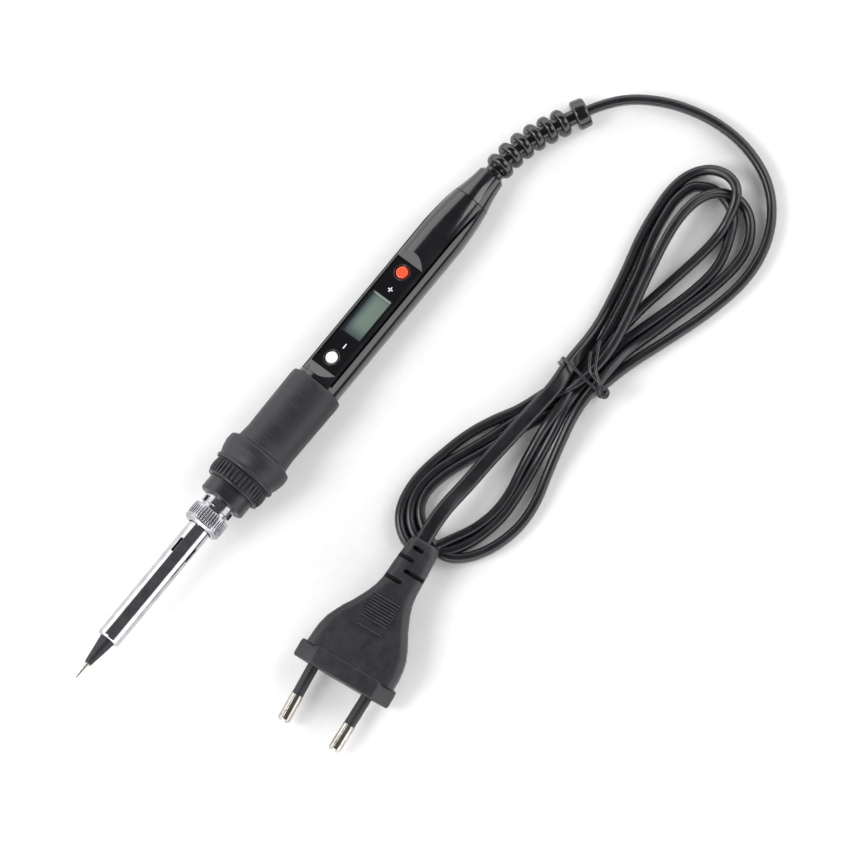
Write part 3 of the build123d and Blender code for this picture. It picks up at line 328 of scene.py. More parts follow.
def modify(obj: bpy.types.Object, group: bpy.types.NodeTree, values: dict[str, Any]) -> None:
    """Give an object a Geometry Nodes modifier with its inputs set.

    Args:
        obj: the object to work on.
        group: the Geometry Nodes tree.
        values: the name of each input and what it is set to.
    """
    modifier = obj.modifiers.new(group.name, "NODES")
    modifier.node_group = group
    for item in group.interface.items_tree:
        if item.item_type == "SOCKET" and item.in_out == "INPUT" and item.name in values:
            modifier[item.identifier] = values[item.name]


def geometry_group(name: str, sockets: Sequence[tuple[str, str]]) -> bpy.types.NodeTree:
    """Start a Geometry Nodes tree with a geometry in and out and named inputs.

    Args:
        name: the tree's name.
        sockets: the name and the socket type of each further input.

    Returns:
        The tree, without nodes.
    """
    tree = bpy.data.node_groups.new(name, "GeometryNodeTree")
    tree.interface.new_socket("Geometry", in_out="INPUT", socket_type="NodeSocketGeometry")
    for label, kind in sockets:
        tree.interface.new_socket(label, in_out="INPUT", socket_type=kind)
    tree.interface.new_socket("Geometry", in_out="OUTPUT", socket_type="NodeSocketGeometry")
    return tree


# ------------------------------------------------------------------ finishes
@dataclass(frozen=True)
class Moulding:
    """A moulded plastic, rubber or ceramic with its grain, flecks and sheen."""

    name: str
    colour: str
    fleck: str
    roughness: float
    swing: float
    grain_mm: float
    grain_depth_mm: float
    blotch_mm: float = 5.0
    coat: float = 0.0
    coat_roughness: float = 0.08
    ior: float = 1.5

    def make(self) -> bpy.types.Material:
        """Build the material: blotches change colour and sheen, the grain gives relief."""
        material = bpy.data.materials.new(self.name)
        material.use_nodes = True
        tree = material.node_tree
        shader = tree.nodes["Principled BSDF"]
        place = add(tree, "ShaderNodeTexCoord").outputs["Object"]
        blotch = add(tree, "ShaderNodeTexNoise", None, {
            "Vector": place, "Scale": 1 / (self.blotch_mm * MM), "Detail": 6.0, "Roughness": 0.62})
        grain = add(tree, "ShaderNodeTexNoise", None, {
            "Vector": place, "Scale": 1 / (self.grain_mm * MM), "Detail": 2.0, "Roughness": 0.5})
        mixed = add(tree, "ShaderNodeMath", {"operation": "MULTIPLY_ADD"}, {
            0: grain.outputs["Fac"], 1: 0.45, 2: blotch.outputs["Fac"]})
        share = add(tree, "ShaderNodeMapRange", None, {
            "Value": mixed.outputs[0], "From Min": 0.5, "From Max": 1.0})
        colour = add(tree, "ShaderNodeMix", {"data_type": "RGBA"}, {
            0: share.outputs["Result"], 6: linear(self.colour), 7: linear(self.fleck)})
        sheen = add(tree, "ShaderNodeMapRange", None, {
            "Value": blotch.outputs["Fac"], "From Min": 0.25, "From Max": 0.75,
            "To Min": self.roughness - self.swing, "To Max": self.roughness + self.swing})
        relief = add(tree, "ShaderNodeBump", None, {
            "Strength": 1.0, "Distance": self.grain_depth_mm * MM, "Height": grain.outputs["Fac"]})
        tree.links.new(colour.outputs[2], shader.inputs["Base Color"])
        tree.links.new(sheen.outputs["Result"], shader.inputs["Roughness"])
        tree.links.new(relief.outputs["Normal"], shader.inputs["Normal"])
        shader.inputs["Coat Weight"].default_value = self.coat
        shader.inputs["Coat Roughness"].default_value = self.coat_roughness
        shader.inputs["IOR"].default_value = self.ior
        return material


@dataclass(frozen=True)
class Metal:
    """A worked metal whose fine marks run round or along the iron."""

    name: str
    bright: str
    dull: str
    roughness: float
    swing: float
    mark_mm: float
    mark_depth_mm: float
    stretch: tuple[float, float, float] = (1.0, 0.04, 0.04)
    axes: Axes = IRON
    cloud_mm: float = 4.0
    least_roughness: float = 0.02

    def make(self) -> bpy.types.Material:
        """Build the material: fine stretched marks change its colour, sheen and relief."""
        material = bpy.data.materials.new(self.name)
        material.use_nodes = True
        tree = material.node_tree
        shader = tree.nodes["Principled BSDF"]
        place = self.axes.coordinates(tree)
        drawn = add(tree, "ShaderNodeVectorMath", {"operation": "MULTIPLY"}, {
            0: place, 1: self.stretch})
        marks = add(tree, "ShaderNodeTexNoise", None, {
            "Vector": drawn.outputs[0], "Scale": 1 / (self.mark_mm * MM), "Detail": 4.0,
            "Roughness": 0.6})
        clouds = add(tree, "ShaderNodeTexNoise", None, {
            "Vector": place, "Scale": 1 / (self.cloud_mm * MM), "Detail": 5.0, "Roughness": 0.6})
        both = add(tree, "ShaderNodeMath", {"operation": "MULTIPLY_ADD"}, {
            0: marks.outputs["Fac"], 1: 0.5, 2: clouds.outputs["Fac"]})
        share = add(tree, "ShaderNodeMapRange", None, {
            "Value": both.outputs[0], "From Min": 0.55, "From Max": 1.0})
        colour = add(tree, "ShaderNodeMix", {"data_type": "RGBA"}, {
            0: share.outputs["Result"], 6: linear(self.bright), 7: linear(self.dull)})
        sheen = add(tree, "ShaderNodeMapRange", None, {
            "Value": marks.outputs["Fac"], "From Min": 0.3, "From Max": 0.7,
            "To Min": max(self.roughness - self.swing, self.least_roughness),
            "To Max": self.roughness + self.swing})
        relief = add(tree, "ShaderNodeBump", None, {
            "Strength": 1.0, "Distance": self.mark_depth_mm * MM, "Height": marks.outputs["Fac"]})
        tree.links.new(colour.outputs[2], shader.inputs["Base Color"])
        tree.links.new(sheen.outputs["Result"], shader.inputs["Roughness"])
        tree.links.new(relief.outputs["Normal"], shader.inputs["Normal"])
        shader.inputs["Metallic"].default_value = 1.0
        return material


@dataclass(frozen=True)
class TipPlating:
    """Iron plating that is burnt dark, and bright with solder near its point."""

    name: str = "iron_plating_tinned"
    solder: str = "#D8D4CC"
    plating: str = "#4A4A4E"
    burnt: str = "#2A2A2D"
    solder_end_mm: float = 5.6
    fade_mm: float = 0.7
    ragged_mm: float = 0.9
    cloud_mm: float = 1.2
    relief_mm: float = 0.03
    metallic: float = 0.9

    def make(self) -> bpy.types.Material:
        """Build the material: its colour and sheen change along the iron."""
        material = bpy.data.materials.new(self.name)
        material.use_nodes = True
        tree = material.node_tree
        shader = tree.nodes["Principled BSDF"]
        place = IRON.coordinates(tree)
        station = add(tree, "ShaderNodeSeparateXYZ", None, {0: place}).outputs[0]
        clouds = add(tree, "ShaderNodeTexNoise", None, {
            "Vector": place, "Scale": 1 / (self.cloud_mm * MM), "Detail": 6.0})
        ragged = add(tree, "ShaderNodeMath", {"operation": "MULTIPLY_ADD"}, {
            0: clouds.outputs["Fac"], 1: self.ragged_mm * MM, 2: station})
        share = add(tree, "ShaderNodeMapRange", None, {
            "Value": ragged.outputs[0], "From Min": self.solder_end_mm * MM,
            "From Max": (self.solder_end_mm + self.fade_mm) * MM})
        dark = add(tree, "ShaderNodeMix", {"data_type": "RGBA"}, {
            0: clouds.outputs["Fac"], 6: linear(self.plating), 7: linear(self.burnt)})
        colour = add(tree, "ShaderNodeMix", {"data_type": "RGBA"}, {
            0: share.outputs["Result"], 6: linear(self.solder), 7: dark.outputs[2]})
        rough = add(tree, "ShaderNodeMapRange", None, {
            "Value": share.outputs["Result"], "To Min": 0.22, "To Max": 0.5})
        relief = add(tree, "ShaderNodeBump", None, {
            "Strength": 1.0, "Distance": self.relief_mm * MM, "Height": clouds.outputs["Fac"]})
        tree.links.new(colour.outputs[2], shader.inputs["Base Color"])
        tree.links.new(rough.outputs["Result"], shader.inputs["Roughness"])
        tree.links.new(relief.outputs["Normal"], shader.inputs["Normal"])
        shader.inputs["Metallic"].default_value = self.metallic
        return material


@dataclass(frozen=True)
class DisplayGlass:
    """A grey-green display behind a film, with painted shade towards the grip and one side, and a painted
    highlight at its far end.
    """

    name: str = "liquid_crystal_display"
    middle: str = "#627269"
    # Painted shade: this colour stands for the bezel's shadow on the display.
    shade: str = "#323D46"
    # Painted highlight: this colour is a light line along the display's far end.
    painted_highlight: str = "#A9B2AC"
    start_mm: float = DISPLAY_START
    length_mm: float = DISPLAY_LENGTH
    half_width_mm: float = 3.4
    # How far the painted shade reaches from the grip end.
    painted_shade_mm: float = 5.0
    # Where the painted highlight line runs, measured back from the far end.
    highlight_line_mm: tuple[float, float] = (0.55, 0.35)
    film_mm: float = 0.25
    coat: float = 0.4

    def make(self) -> bpy.types.Material:
        """Build the material: painted shade towards one end and one side, with a painted highlight line at
        the other end.
        """
        material = bpy.data.materials.new(self.name)
        material.use_nodes = True
        tree = material.node_tree
        shader = tree.nodes["Principled BSDF"]
        place = IRON.coordinates(tree)
        parts = add(tree, "ShaderNodeSeparateXYZ", None, {0: place})
        end = self.start_mm + self.length_mm
        # Painted shade: darker towards the grip end and towards one side, where the bezel's shadow falls on
        # the display.
        along = add(tree, "ShaderNodeMapRange", {"interpolation_type": "SMOOTHSTEP"}, {
            "Value": parts.outputs[0], "From Min": self.start_mm * MM,
            "From Max": (self.start_mm + self.painted_shade_mm) * MM, "To Min": 0.25})
        side = add(tree, "ShaderNodeMapRange", {"interpolation_type": "SMOOTHSTEP"}, {
            "Value": parts.outputs[1], "From Min": self.half_width_mm * MM,
            "From Max": 0.2 * self.half_width_mm * MM, "To Min": 0.3})
        lit = add(tree, "ShaderNodeMath", {"operation": "MULTIPLY"}, {
            0: along.outputs[0], 1: side.outputs[0]})
        body = add(tree, "ShaderNodeMix", {"data_type": "RGBA"}, {
            0: lit.outputs[0], 6: linear(self.shade), 7: linear(self.middle)})
        # Painted highlight: a light line just inside the display's far end.
        line = add(tree, "ShaderNodeMapRange", None, {
            "Value": parts.outputs[0], "From Min": (end - self.highlight_line_mm[0]) * MM,
            "From Max": (end - self.highlight_line_mm[1]) * MM})
        colour = add(tree, "ShaderNodeMix", {"data_type": "RGBA"}, {
            0: line.outputs[0], 6: body.outputs[2], 7: linear(self.painted_highlight)})
        film = add(tree, "ShaderNodeTexNoise", None, {
            "Vector": place, "Scale": 1 / (self.film_mm * MM), "Detail": 2.0})
        rough = add(tree, "ShaderNodeMapRange", None, {
            "Value": film.outputs["Fac"], "To Min": 0.22, "To Max": 0.4})
        tree.links.new(colour.outputs[2], shader.inputs["Base Color"])
        tree.links.new(rough.outputs["Result"], shader.inputs["Roughness"])
        shader.inputs["Coat Weight"].default_value = self.coat
        return material


# Silicone rubber: soft, dull and dusty, with a fine moulded grain.
SILICONE = Moulding("silicone_rubber_moulded", "#101015", "#1F1F27", 0.5, 0.1, 0.32, 0.05)
# Heat-resistant phenolic: dull black with a slightly greyer bloom.
PHENOLIC = Moulding("phenolic_moulded", "#0F0F14", "#1D1D25", 0.38, 0.1, 0.4, 0.03)
# ABS from a polished mould: dark with a soft wide highlight.
ABS_GLOSS = Moulding("abs_polished_mould", "#0F0F13", "#17171B", 0.16, 0.05, 0.6, 0.004, coat=0.5)
# Polycarbonate window, printed black on its inner face.
WINDOW = Moulding("polycarbonate_printed_black", "#050509", "#09090E", 0.1, 0.03, 0.8, 0.002, coat=0.6)
# The keys are the same ABS, white and red; the signs are printed in white ink.
WHITE_KEY = Moulding("abs_white_key", "#F1F0EC", "#DEDCD6", 0.3, 0.05, 0.5, 0.004, coat=0.3)
RED_KEY = Moulding("abs_red_key", "#F4512B", "#E2451F", 0.3, 0.05, 0.5, 0.004, coat=0.3)
PRINT = Moulding("white_printing", "#E9E9EA", "#D4D4D6", 0.5, 0.05, 0.2, 0.002)
# Soft PVC: glossy where it was moulded over the lead.
RELIEF_PVC = Moulding("pvc_relief_moulded", "#09090C", "#141418", 0.2, 0.06, 0.8, 0.01, coat=0.4)
# Extruded PVC: satin, with faint drag marks.
CORD_PVC = Moulding("pvc_cord_extruded", "#0E0E12", "#1C1C21", 0.32, 0.07, 0.5, 0.01, coat=0.15)
# PVC plug: spark-eroded mould, so an even fine grain.
PLUG_PVC = Moulding(
    "pvc_plug_grained", "#111116", "#232329", 0.45, 0.08, 0.28, 0.07, blotch_mm=3.0)
# The wire tie's thin coating.
TIE_PVC = Moulding("pvc_coated_wire", "#0C0C10", "#1A1A1F", 0.25, 0.06, 0.5, 0.01, coat=0.3)
# What the handle, the tip and the plug hold inside.
ALUMINA = Moulding("sintered_alumina", "#E6E1D6", "#CFC9BC", 0.6, 0.08, 0.2, 0.01)
WHITE_PLASTIC = Moulding("abs_white_frame", "#DAD8D0", "#C6C4BC", 0.45, 0.05, 0.4, 0.01)
SOLDER_MASK = Moulding(
    "solder_mask_over_glass_epoxy", "#0C3B22", "#124A2B", 0.35, 0.06, 0.3, 0.01, coat=0.3)
EPOXY = Moulding("moulded_epoxy_black", "#17171A", "#232327", 0.5, 0.06, 0.15, 0.01)
CAPACITOR_FILM = Moulding("potted_film_capacitor", "#B98A2C", "#A57822", 0.4, 0.05, 0.5, 0.01)
CAPACITOR_SLEEVE = Moulding("shrunk_capacitor_sleeve", "#10142B", "#1B2140", 0.3, 0.05, 0.5, 0.01)
RESISTOR = Moulding("lacquered_resistor", "#7FA0AE", "#6A8B99", 0.4, 0.06, 0.3, 0.01)
FUSE_GLASS = Moulding("soda_glass_tube", "#C9D2D6", "#B5BFC4", 0.08, 0.03, 1.0, 0.002, coat=0.6)
PTFE = Moulding("ptfe_wire", "#B8231A", "#A01C14", 0.4, 0.06, 0.4, 0.01)
GLASS_BRAID = Moulding("glass_fibre_braid", "#D8D2C2", "#BDB6A4", 0.7, 0.08, 0.25, 0.08)
# Polished stainless tube: mirror bright, with hair-fine lines round it.
TUBE_STEEL = Metal("stainless_tube_polished", "#C9C8CC", "#A2A1A7", 0.12, 0.04, 0.12, 0.002)
# Nickel-plated steel: bright, a little softer than the tube.
PLATED_STEEL = Metal("nickel_plated_steel", "#BBBABF", "#8B8A91", 0.2, 0.06, 0.15, 0.003)
# Nickel-plated brass pins: warm white, with wear along them.
PIN_NICKEL = Metal(
    "nickel_plated_brass", "#CFCBC3", "#9A948A", 0.2, 0.08, 0.12, 0.0008, (0.04, 1.0, 1.0), PLUG)
TINNED_COPPER = Metal("tinned_copper", "#D4D2CC", "#B0ADA4", 0.3, 0.08, 0.1, 0.004)
TIP = TipPlating()
LCD = DisplayGlass()


class Workshop:
    """Makes each finish once and hands it out."""

    def __init__(self) -> None:
        """Start with no finish made."""
        self.made: dict[str, bpy.types.Material] = {}

    def get(self, finish: Any) -> bpy.types.Material:
        """The Blender material of a finish, made when it is first asked for."""
        if finish.name not in self.made:
            self.made[finish.name] = finish.make()
        return self.made[finish.name]

    def dress(self, node: str, finish: Any) -> bpy.types.Object:
        """Give a CAD node its finish.

        Args:
            node: the node's name.
            finish: one of the finishes above.

        Returns:
            The node's object.
        """
        obj = frame["nodes"][node]
        obj.data.materials.clear()
        obj.data.materials.append(self.get(finish))
        log.info("dressed %s with %s", node, finish.name)
        return obj


SHOP = Workshop()


def settle(obj: bpy.types.Object, body: str, slot: str, *nodes: str) -> bpy.types.Object:
    """Put a finished piece on its body.

    Args:
        obj: the piece.
        body: the body that it rides on.
        slot: the name of its material slot; not used.
        nodes: the CAD nodes that it stands for, if any.

    Returns:
        The piece.
    """
    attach(obj, body)
    if nodes:
        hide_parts(*nodes)
    log.info("made %s: %d faces", obj.name, len(obj.data.polygons))
    return obj


# ------------------------------------------------------------------ repeated shapes
def ridge_ring_group() -> bpy.types.NodeTree:
    """A Geometry Nodes tree: rounded ridges along a turned piece, evenly round it.

    Returns:
        The tree. Its frame is in millimetres, with the turning axis along x.
    """
    tree = geometry_group("ridges_round_a_ring", [
        ("Count", "NodeSocketInt"), ("Radius", "NodeSocketFloat"), ("Middle", "NodeSocketFloat"),
        ("Length", "NodeSocketFloat"), ("Width", "NodeSocketFloat"), ("Material", "NodeSocketMaterial")])
    given = add(tree, "NodeGroupInput").outputs
    circle = add(tree, "GeometryNodeMeshCircle", {"fill_type": "NONE"}, {
        "Vertices": given["Count"], "Radius": given["Radius"]})
    turned = add(tree, "GeometryNodeTransform", None, {
        "Geometry": circle.outputs["Mesh"], "Rotation": (0.0, math.pi / 2, 0.0)})
    offset = add(tree, "ShaderNodeCombineXYZ", None, {0: given["Middle"]})
    moved = add(tree, "GeometryNodeTransform", None, {
        "Geometry": turned.outputs["Geometry"], "Translation": offset.outputs[0]})
    place = add(tree, "GeometryNodeInputPosition").outputs[0]
    radial = add(tree, "ShaderNodeVectorMath", {"operation": "MULTIPLY"}, {
        0: place, 1: (0.0, 1.0, 1.0)})
    facing = add(tree, "FunctionNodeAlignRotationToVector", {"axis": "Z", "pivot_axis": "X"}, {
        "Vector": radial.outputs[0]})
    size = add(tree, "ShaderNodeCombineXYZ", None, {
        0: given["Length"], 1: given["Width"], 2: given["Width"]})
    ball = add(tree, "GeometryNodeMeshUVSphere", None, {"Segments": 8, "Rings": 6, "Radius": 0.5})
    shaped = add(tree, "GeometryNodeTransform", None, {
        "Geometry": ball.outputs["Mesh"], "Rotation": (0.0, math.pi / 2, 0.0)})
    stretched = add(tree, "GeometryNodeTransform", None, {
        "Geometry": shaped.outputs["Geometry"], "Scale": size.outputs[0]})
    smooth = add(tree, "GeometryNodeSetShadeSmooth", None, {0: stretched.outputs["Geometry"]})
    placed = add(tree, "GeometryNodeInstanceOnPoints", None, {
        "Points": moved.outputs["Geometry"], "Instance": smooth.outputs[0],
        "Rotation": facing.outputs[0]})
    real = add(tree, "GeometryNodeRealizeInstances", None, {0: placed.outputs["Instances"]})
    joined = add(tree, "GeometryNodeJoinGeometry")
    tree.links.new(real.outputs[0], joined.inputs[0])
    tree.links.new(given["Geometry"], joined.inputs[0])
    painted = add(tree, "GeometryNodeSetMaterial", None, {
        "Geometry": joined.outputs[0], "Material": given["Material"]})
    add(tree, "NodeGroupOutput", None, {0: painted.outputs[0]})
    return tree


def ribs_on_path_group() -> bpy.types.NodeTree:
    """A Geometry Nodes tree: one rib, laid at even steps along a curve and leaned over.

    Returns:
        The tree. The rib's own axis is z, and it is turned to the curve's direction.
    """
    tree = geometry_group("ribs_along_a_path", [
        ("Count", "NodeSocketInt"), ("Rib", "NodeSocketObject"), ("Lean", "NodeSocketFloat"),
        ("Material", "NodeSocketMaterial")])
    given = add(tree, "NodeGroupInput").outputs
    points = add(tree, "GeometryNodeCurveToPoints", {"mode": "COUNT"}, {
        "Curve": given["Geometry"], "Count": given["Count"]})
    level = add(tree, "FunctionNodeAlignRotationToVector", {"axis": "Z", "pivot_axis": "AUTO"}, {
        "Vector": points.outputs["Tangent"]})
    lean = add(tree, "ShaderNodeCombineXYZ", None, {1: given["Lean"]})
    leaned = add(tree, "FunctionNodeRotateRotation", {"rotation_space": "LOCAL"}, {
        0: level.outputs[0]})
    turn = add(tree, "FunctionNodeEulerToRotation", None, {0: lean.outputs[0]})
    tree.links.new(turn.outputs[0], leaned.inputs[1])
    rib = add(tree, "GeometryNodeObjectInfo", None, {"Object": given["Rib"]})
    placed = add(tree, "GeometryNodeInstanceOnPoints", None, {
        "Points": points.outputs["Points"], "Instance": rib.outputs["Geometry"],
        "Rotation": leaned.outputs[0]})
    real = add(tree, "GeometryNodeRealizeInstances", None, {0: placed.outputs["Instances"]})
    painted = add(tree, "GeometryNodeSetMaterial", None, {
        "Geometry": real.outputs[0], "Material": given["Material"]})
    add(tree, "NodeGroupOutput", None, {0: painted.outputs[0]})
    return tree


def joined(name: str, parts: Sequence[bpy.types.Object],
           material: bpy.types.Material) -> bpy.types.Object:
    """Join several plain mesh objects into one piece.

    Args:
        name: the piece's name.
        parts: the objects, which are removed.
        material: its material.

    Returns:
        The one object.
    """
    shape = bmesh.new()
    for part in parts:
        shape.from_mesh(part.data)
    mesh = bpy.data.meshes.new(name)
    shape.to_mesh(mesh)
    shape.free()
    for part in parts:
        bpy.data.objects.remove(part)
    for face in mesh.polygons:
        face.material_index = 0
    return make_object(name, mesh, material)


def tube(name: str, path: Sequence[Vector], radius: float, material: bpy.types.Material,
         steps: int = 12) -> bpy.types.Object:
    """A round wire with closed ends.

    Args:
        name: the piece's name.
        path: the points of its middle line, in metres.
        radius: its radius in metres.
        material: its material.
        steps: pieces round it.

    Returns:
        The wire.
    """
    angles = [math.tau * k / steps for k in range(steps)]
    sections = []
    last = None
    for i, point in enumerate(path):
        along = (path[min(i + 1, len(path) - 1)] - path[max(i - 1, 0)]).normalized()
        start = last if last is not None else along.orthogonal()
        side = (start - along * start.dot(along)).normalized()
        up = along.cross(side)
        last = side
        sections.append([point + (side * math.cos(a) + up * math.sin(a)) * radius for a in angles])
    return skin(name, sections, material, 60.0)


def nurbs_line(points: Sequence[Vector], resolution: int = 8) -> list[Vector]:
    """The points of a smooth line.

    Args:
        points: its control points, in metres.
        resolution: how finely it is divided between two of them.

    Returns:
        Points along the line, in metres.
    """
    curve = bpy.data.curves.new("line", "CURVE")
    curve.dimensions = "3D"
    spline = curve.splines.new("NURBS")
    spline.points.add(len(points) - 1)
    for knot, point in zip(spline.points, points):
        knot.co = (*point, 1.0)
    spline.order_u = 3
    spline.use_endpoint_u = True
    spline.resolution_u = resolution
    obj = bpy.data.objects.new("line", curve)
    bpy.context.scene.collection.objects.link(obj)
    bpy.context.view_layer.update()
    mesh = bpy.data.meshes.new_from_object(obj)
    out = [vertex.co.copy() for vertex in mesh.vertices]
    bpy.data.objects.remove(obj)
    bpy.data.meshes.remove(mesh)
    bpy.data.curves.remove(curve)
    return out


# ------------------------------------------------------------------ the iron's front
@dataclass
class HotEnd:
    """The tip, the barrel and the knurled nut that holds it."""

    nut_start: float = NUT_START
    nut_length: float = 6.0
    nut_radius: float = 6.0
    nut_bore: float = 5.2
    nut_lip: float = 1.2
    band: float = 1.25
    barrel_room: float = 4.15
    knurls: int = 44
    knurl_width: float = 0.62

    def dress(self) -> None:
        """Finish the tip, the heater and the barrel."""
        SHOP.dress("tip", TIP)
        SHOP.dress("heater", ALUMINA)
        SHOP.dress("heater_flange", ALUMINA)
        SHOP.dress("barrel", TUBE_STEEL)

    def nut(self) -> bpy.types.Object:
        """The sleeve nut: a turned ring with straight knurling between two smooth bands."""
        start, end, radius = self.nut_start, self.nut_start + self.nut_length, self.nut_radius
        material = SHOP.get(PLATED_STEEL)
        ring = lathe("nut_core", [
            (start, self.barrel_room), (start, radius - 0.7, 0.2), (start + 0.9, radius + 0.15, 0.2),
            (start + self.band, radius + 0.15, 0.1), (start + self.band + 0.15, radius - 0.05),
            (end - 0.25, radius - 0.05), (end - 0.1, radius + 0.1, 0.05), (end, radius - 0.3),
            (end, self.nut_bore), (start + self.nut_lip, self.nut_bore),
            (start + self.nut_lip, self.barrel_room)],
            IRON, material, 3 * self.knurls, place=False)
        knurl_start = start + self.band + 0.05
        modify(ring, ridge_ring_group(), {
            "Count": self.knurls, "Radius": radius - 0.08, "Middle": (knurl_start + end) / 2,
            "Length": (end - knurl_start) * 1.02, "Width": self.knurl_width, "Material": material})
        out = evaluated(ring, "knurled_sleeve_nut", material)
        out.data.transform(IRON.matrix())
        return settle(out, "sleeve_nut", "nut_steel", "sleeve_nut")

    def build(self) -> None:
        """Make and finish every piece of the hot end."""
        self.dress()
        self.nut()


@dataclass
class FrontFittings:
    """The neck, the collar and the ribbed ring in front of the grip."""

    ring_start: float = 74.2
    ring_end: float = 79.5
    ring_radius: float = 9.45
    collar_room: float = 7.95
    nose_bore: float = 8.7
    nose_lip: float = 1.0
    bead: float = 0.75
    ribs: int = 38
    rib_width: float = 1.15

    def ring(self) -> bpy.types.Object:
        """The ring nut: a bead in front of a ribbed barrel."""
        start, end, radius = self.ring_start, self.ring_end, self.ring_radius
        material = SHOP.get(PHENOLIC)
        core = lathe("ring_core", [
            (start, self.collar_room), (start, radius - 0.45, 0.3),
            (start + self.bead - 0.2, radius - 0.25, 0.2), (start + self.bead, radius - 0.5, 0.05),
            (end - 0.5, radius - 0.35, 0.1), (end - 0.3, radius + 0.1, 0.1), (end, radius + 0.1, 0.1),
            (end, self.nose_bore), (start + self.nose_lip, self.nose_bore),
            (start + self.nose_lip, self.collar_room)], IRON, material, 136, place=False)
        modify(core, ridge_ring_group(), {
            "Count": self.ribs, "Radius": radius - 0.4, "Middle": (start + self.bead + 0.05 + end) / 2,
            "Length": end - start - 0.6, "Width": self.rib_width, "Material": material})
        out = evaluated(core, "ribbed_ring_nut", material)
        out.data.transform(IRON.matrix())
        return settle(out, "ring_nut", "collar_plastic", "ring_nut")

    def build(self) -> None:
        """Make and finish every front fitting."""
        SHOP.dress("nipple", PLATED_STEEL)
        SHOP.dress("slip_washer", PLATED_STEEL)
        SHOP.dress("front_collar", PHENOLIC)
        self.ring()


@dataclass
class Mark:
    """A bar of a printed sign: its middle, its length and its width, in millimetres."""

    station: float
    side: float
    along: float
    across: float


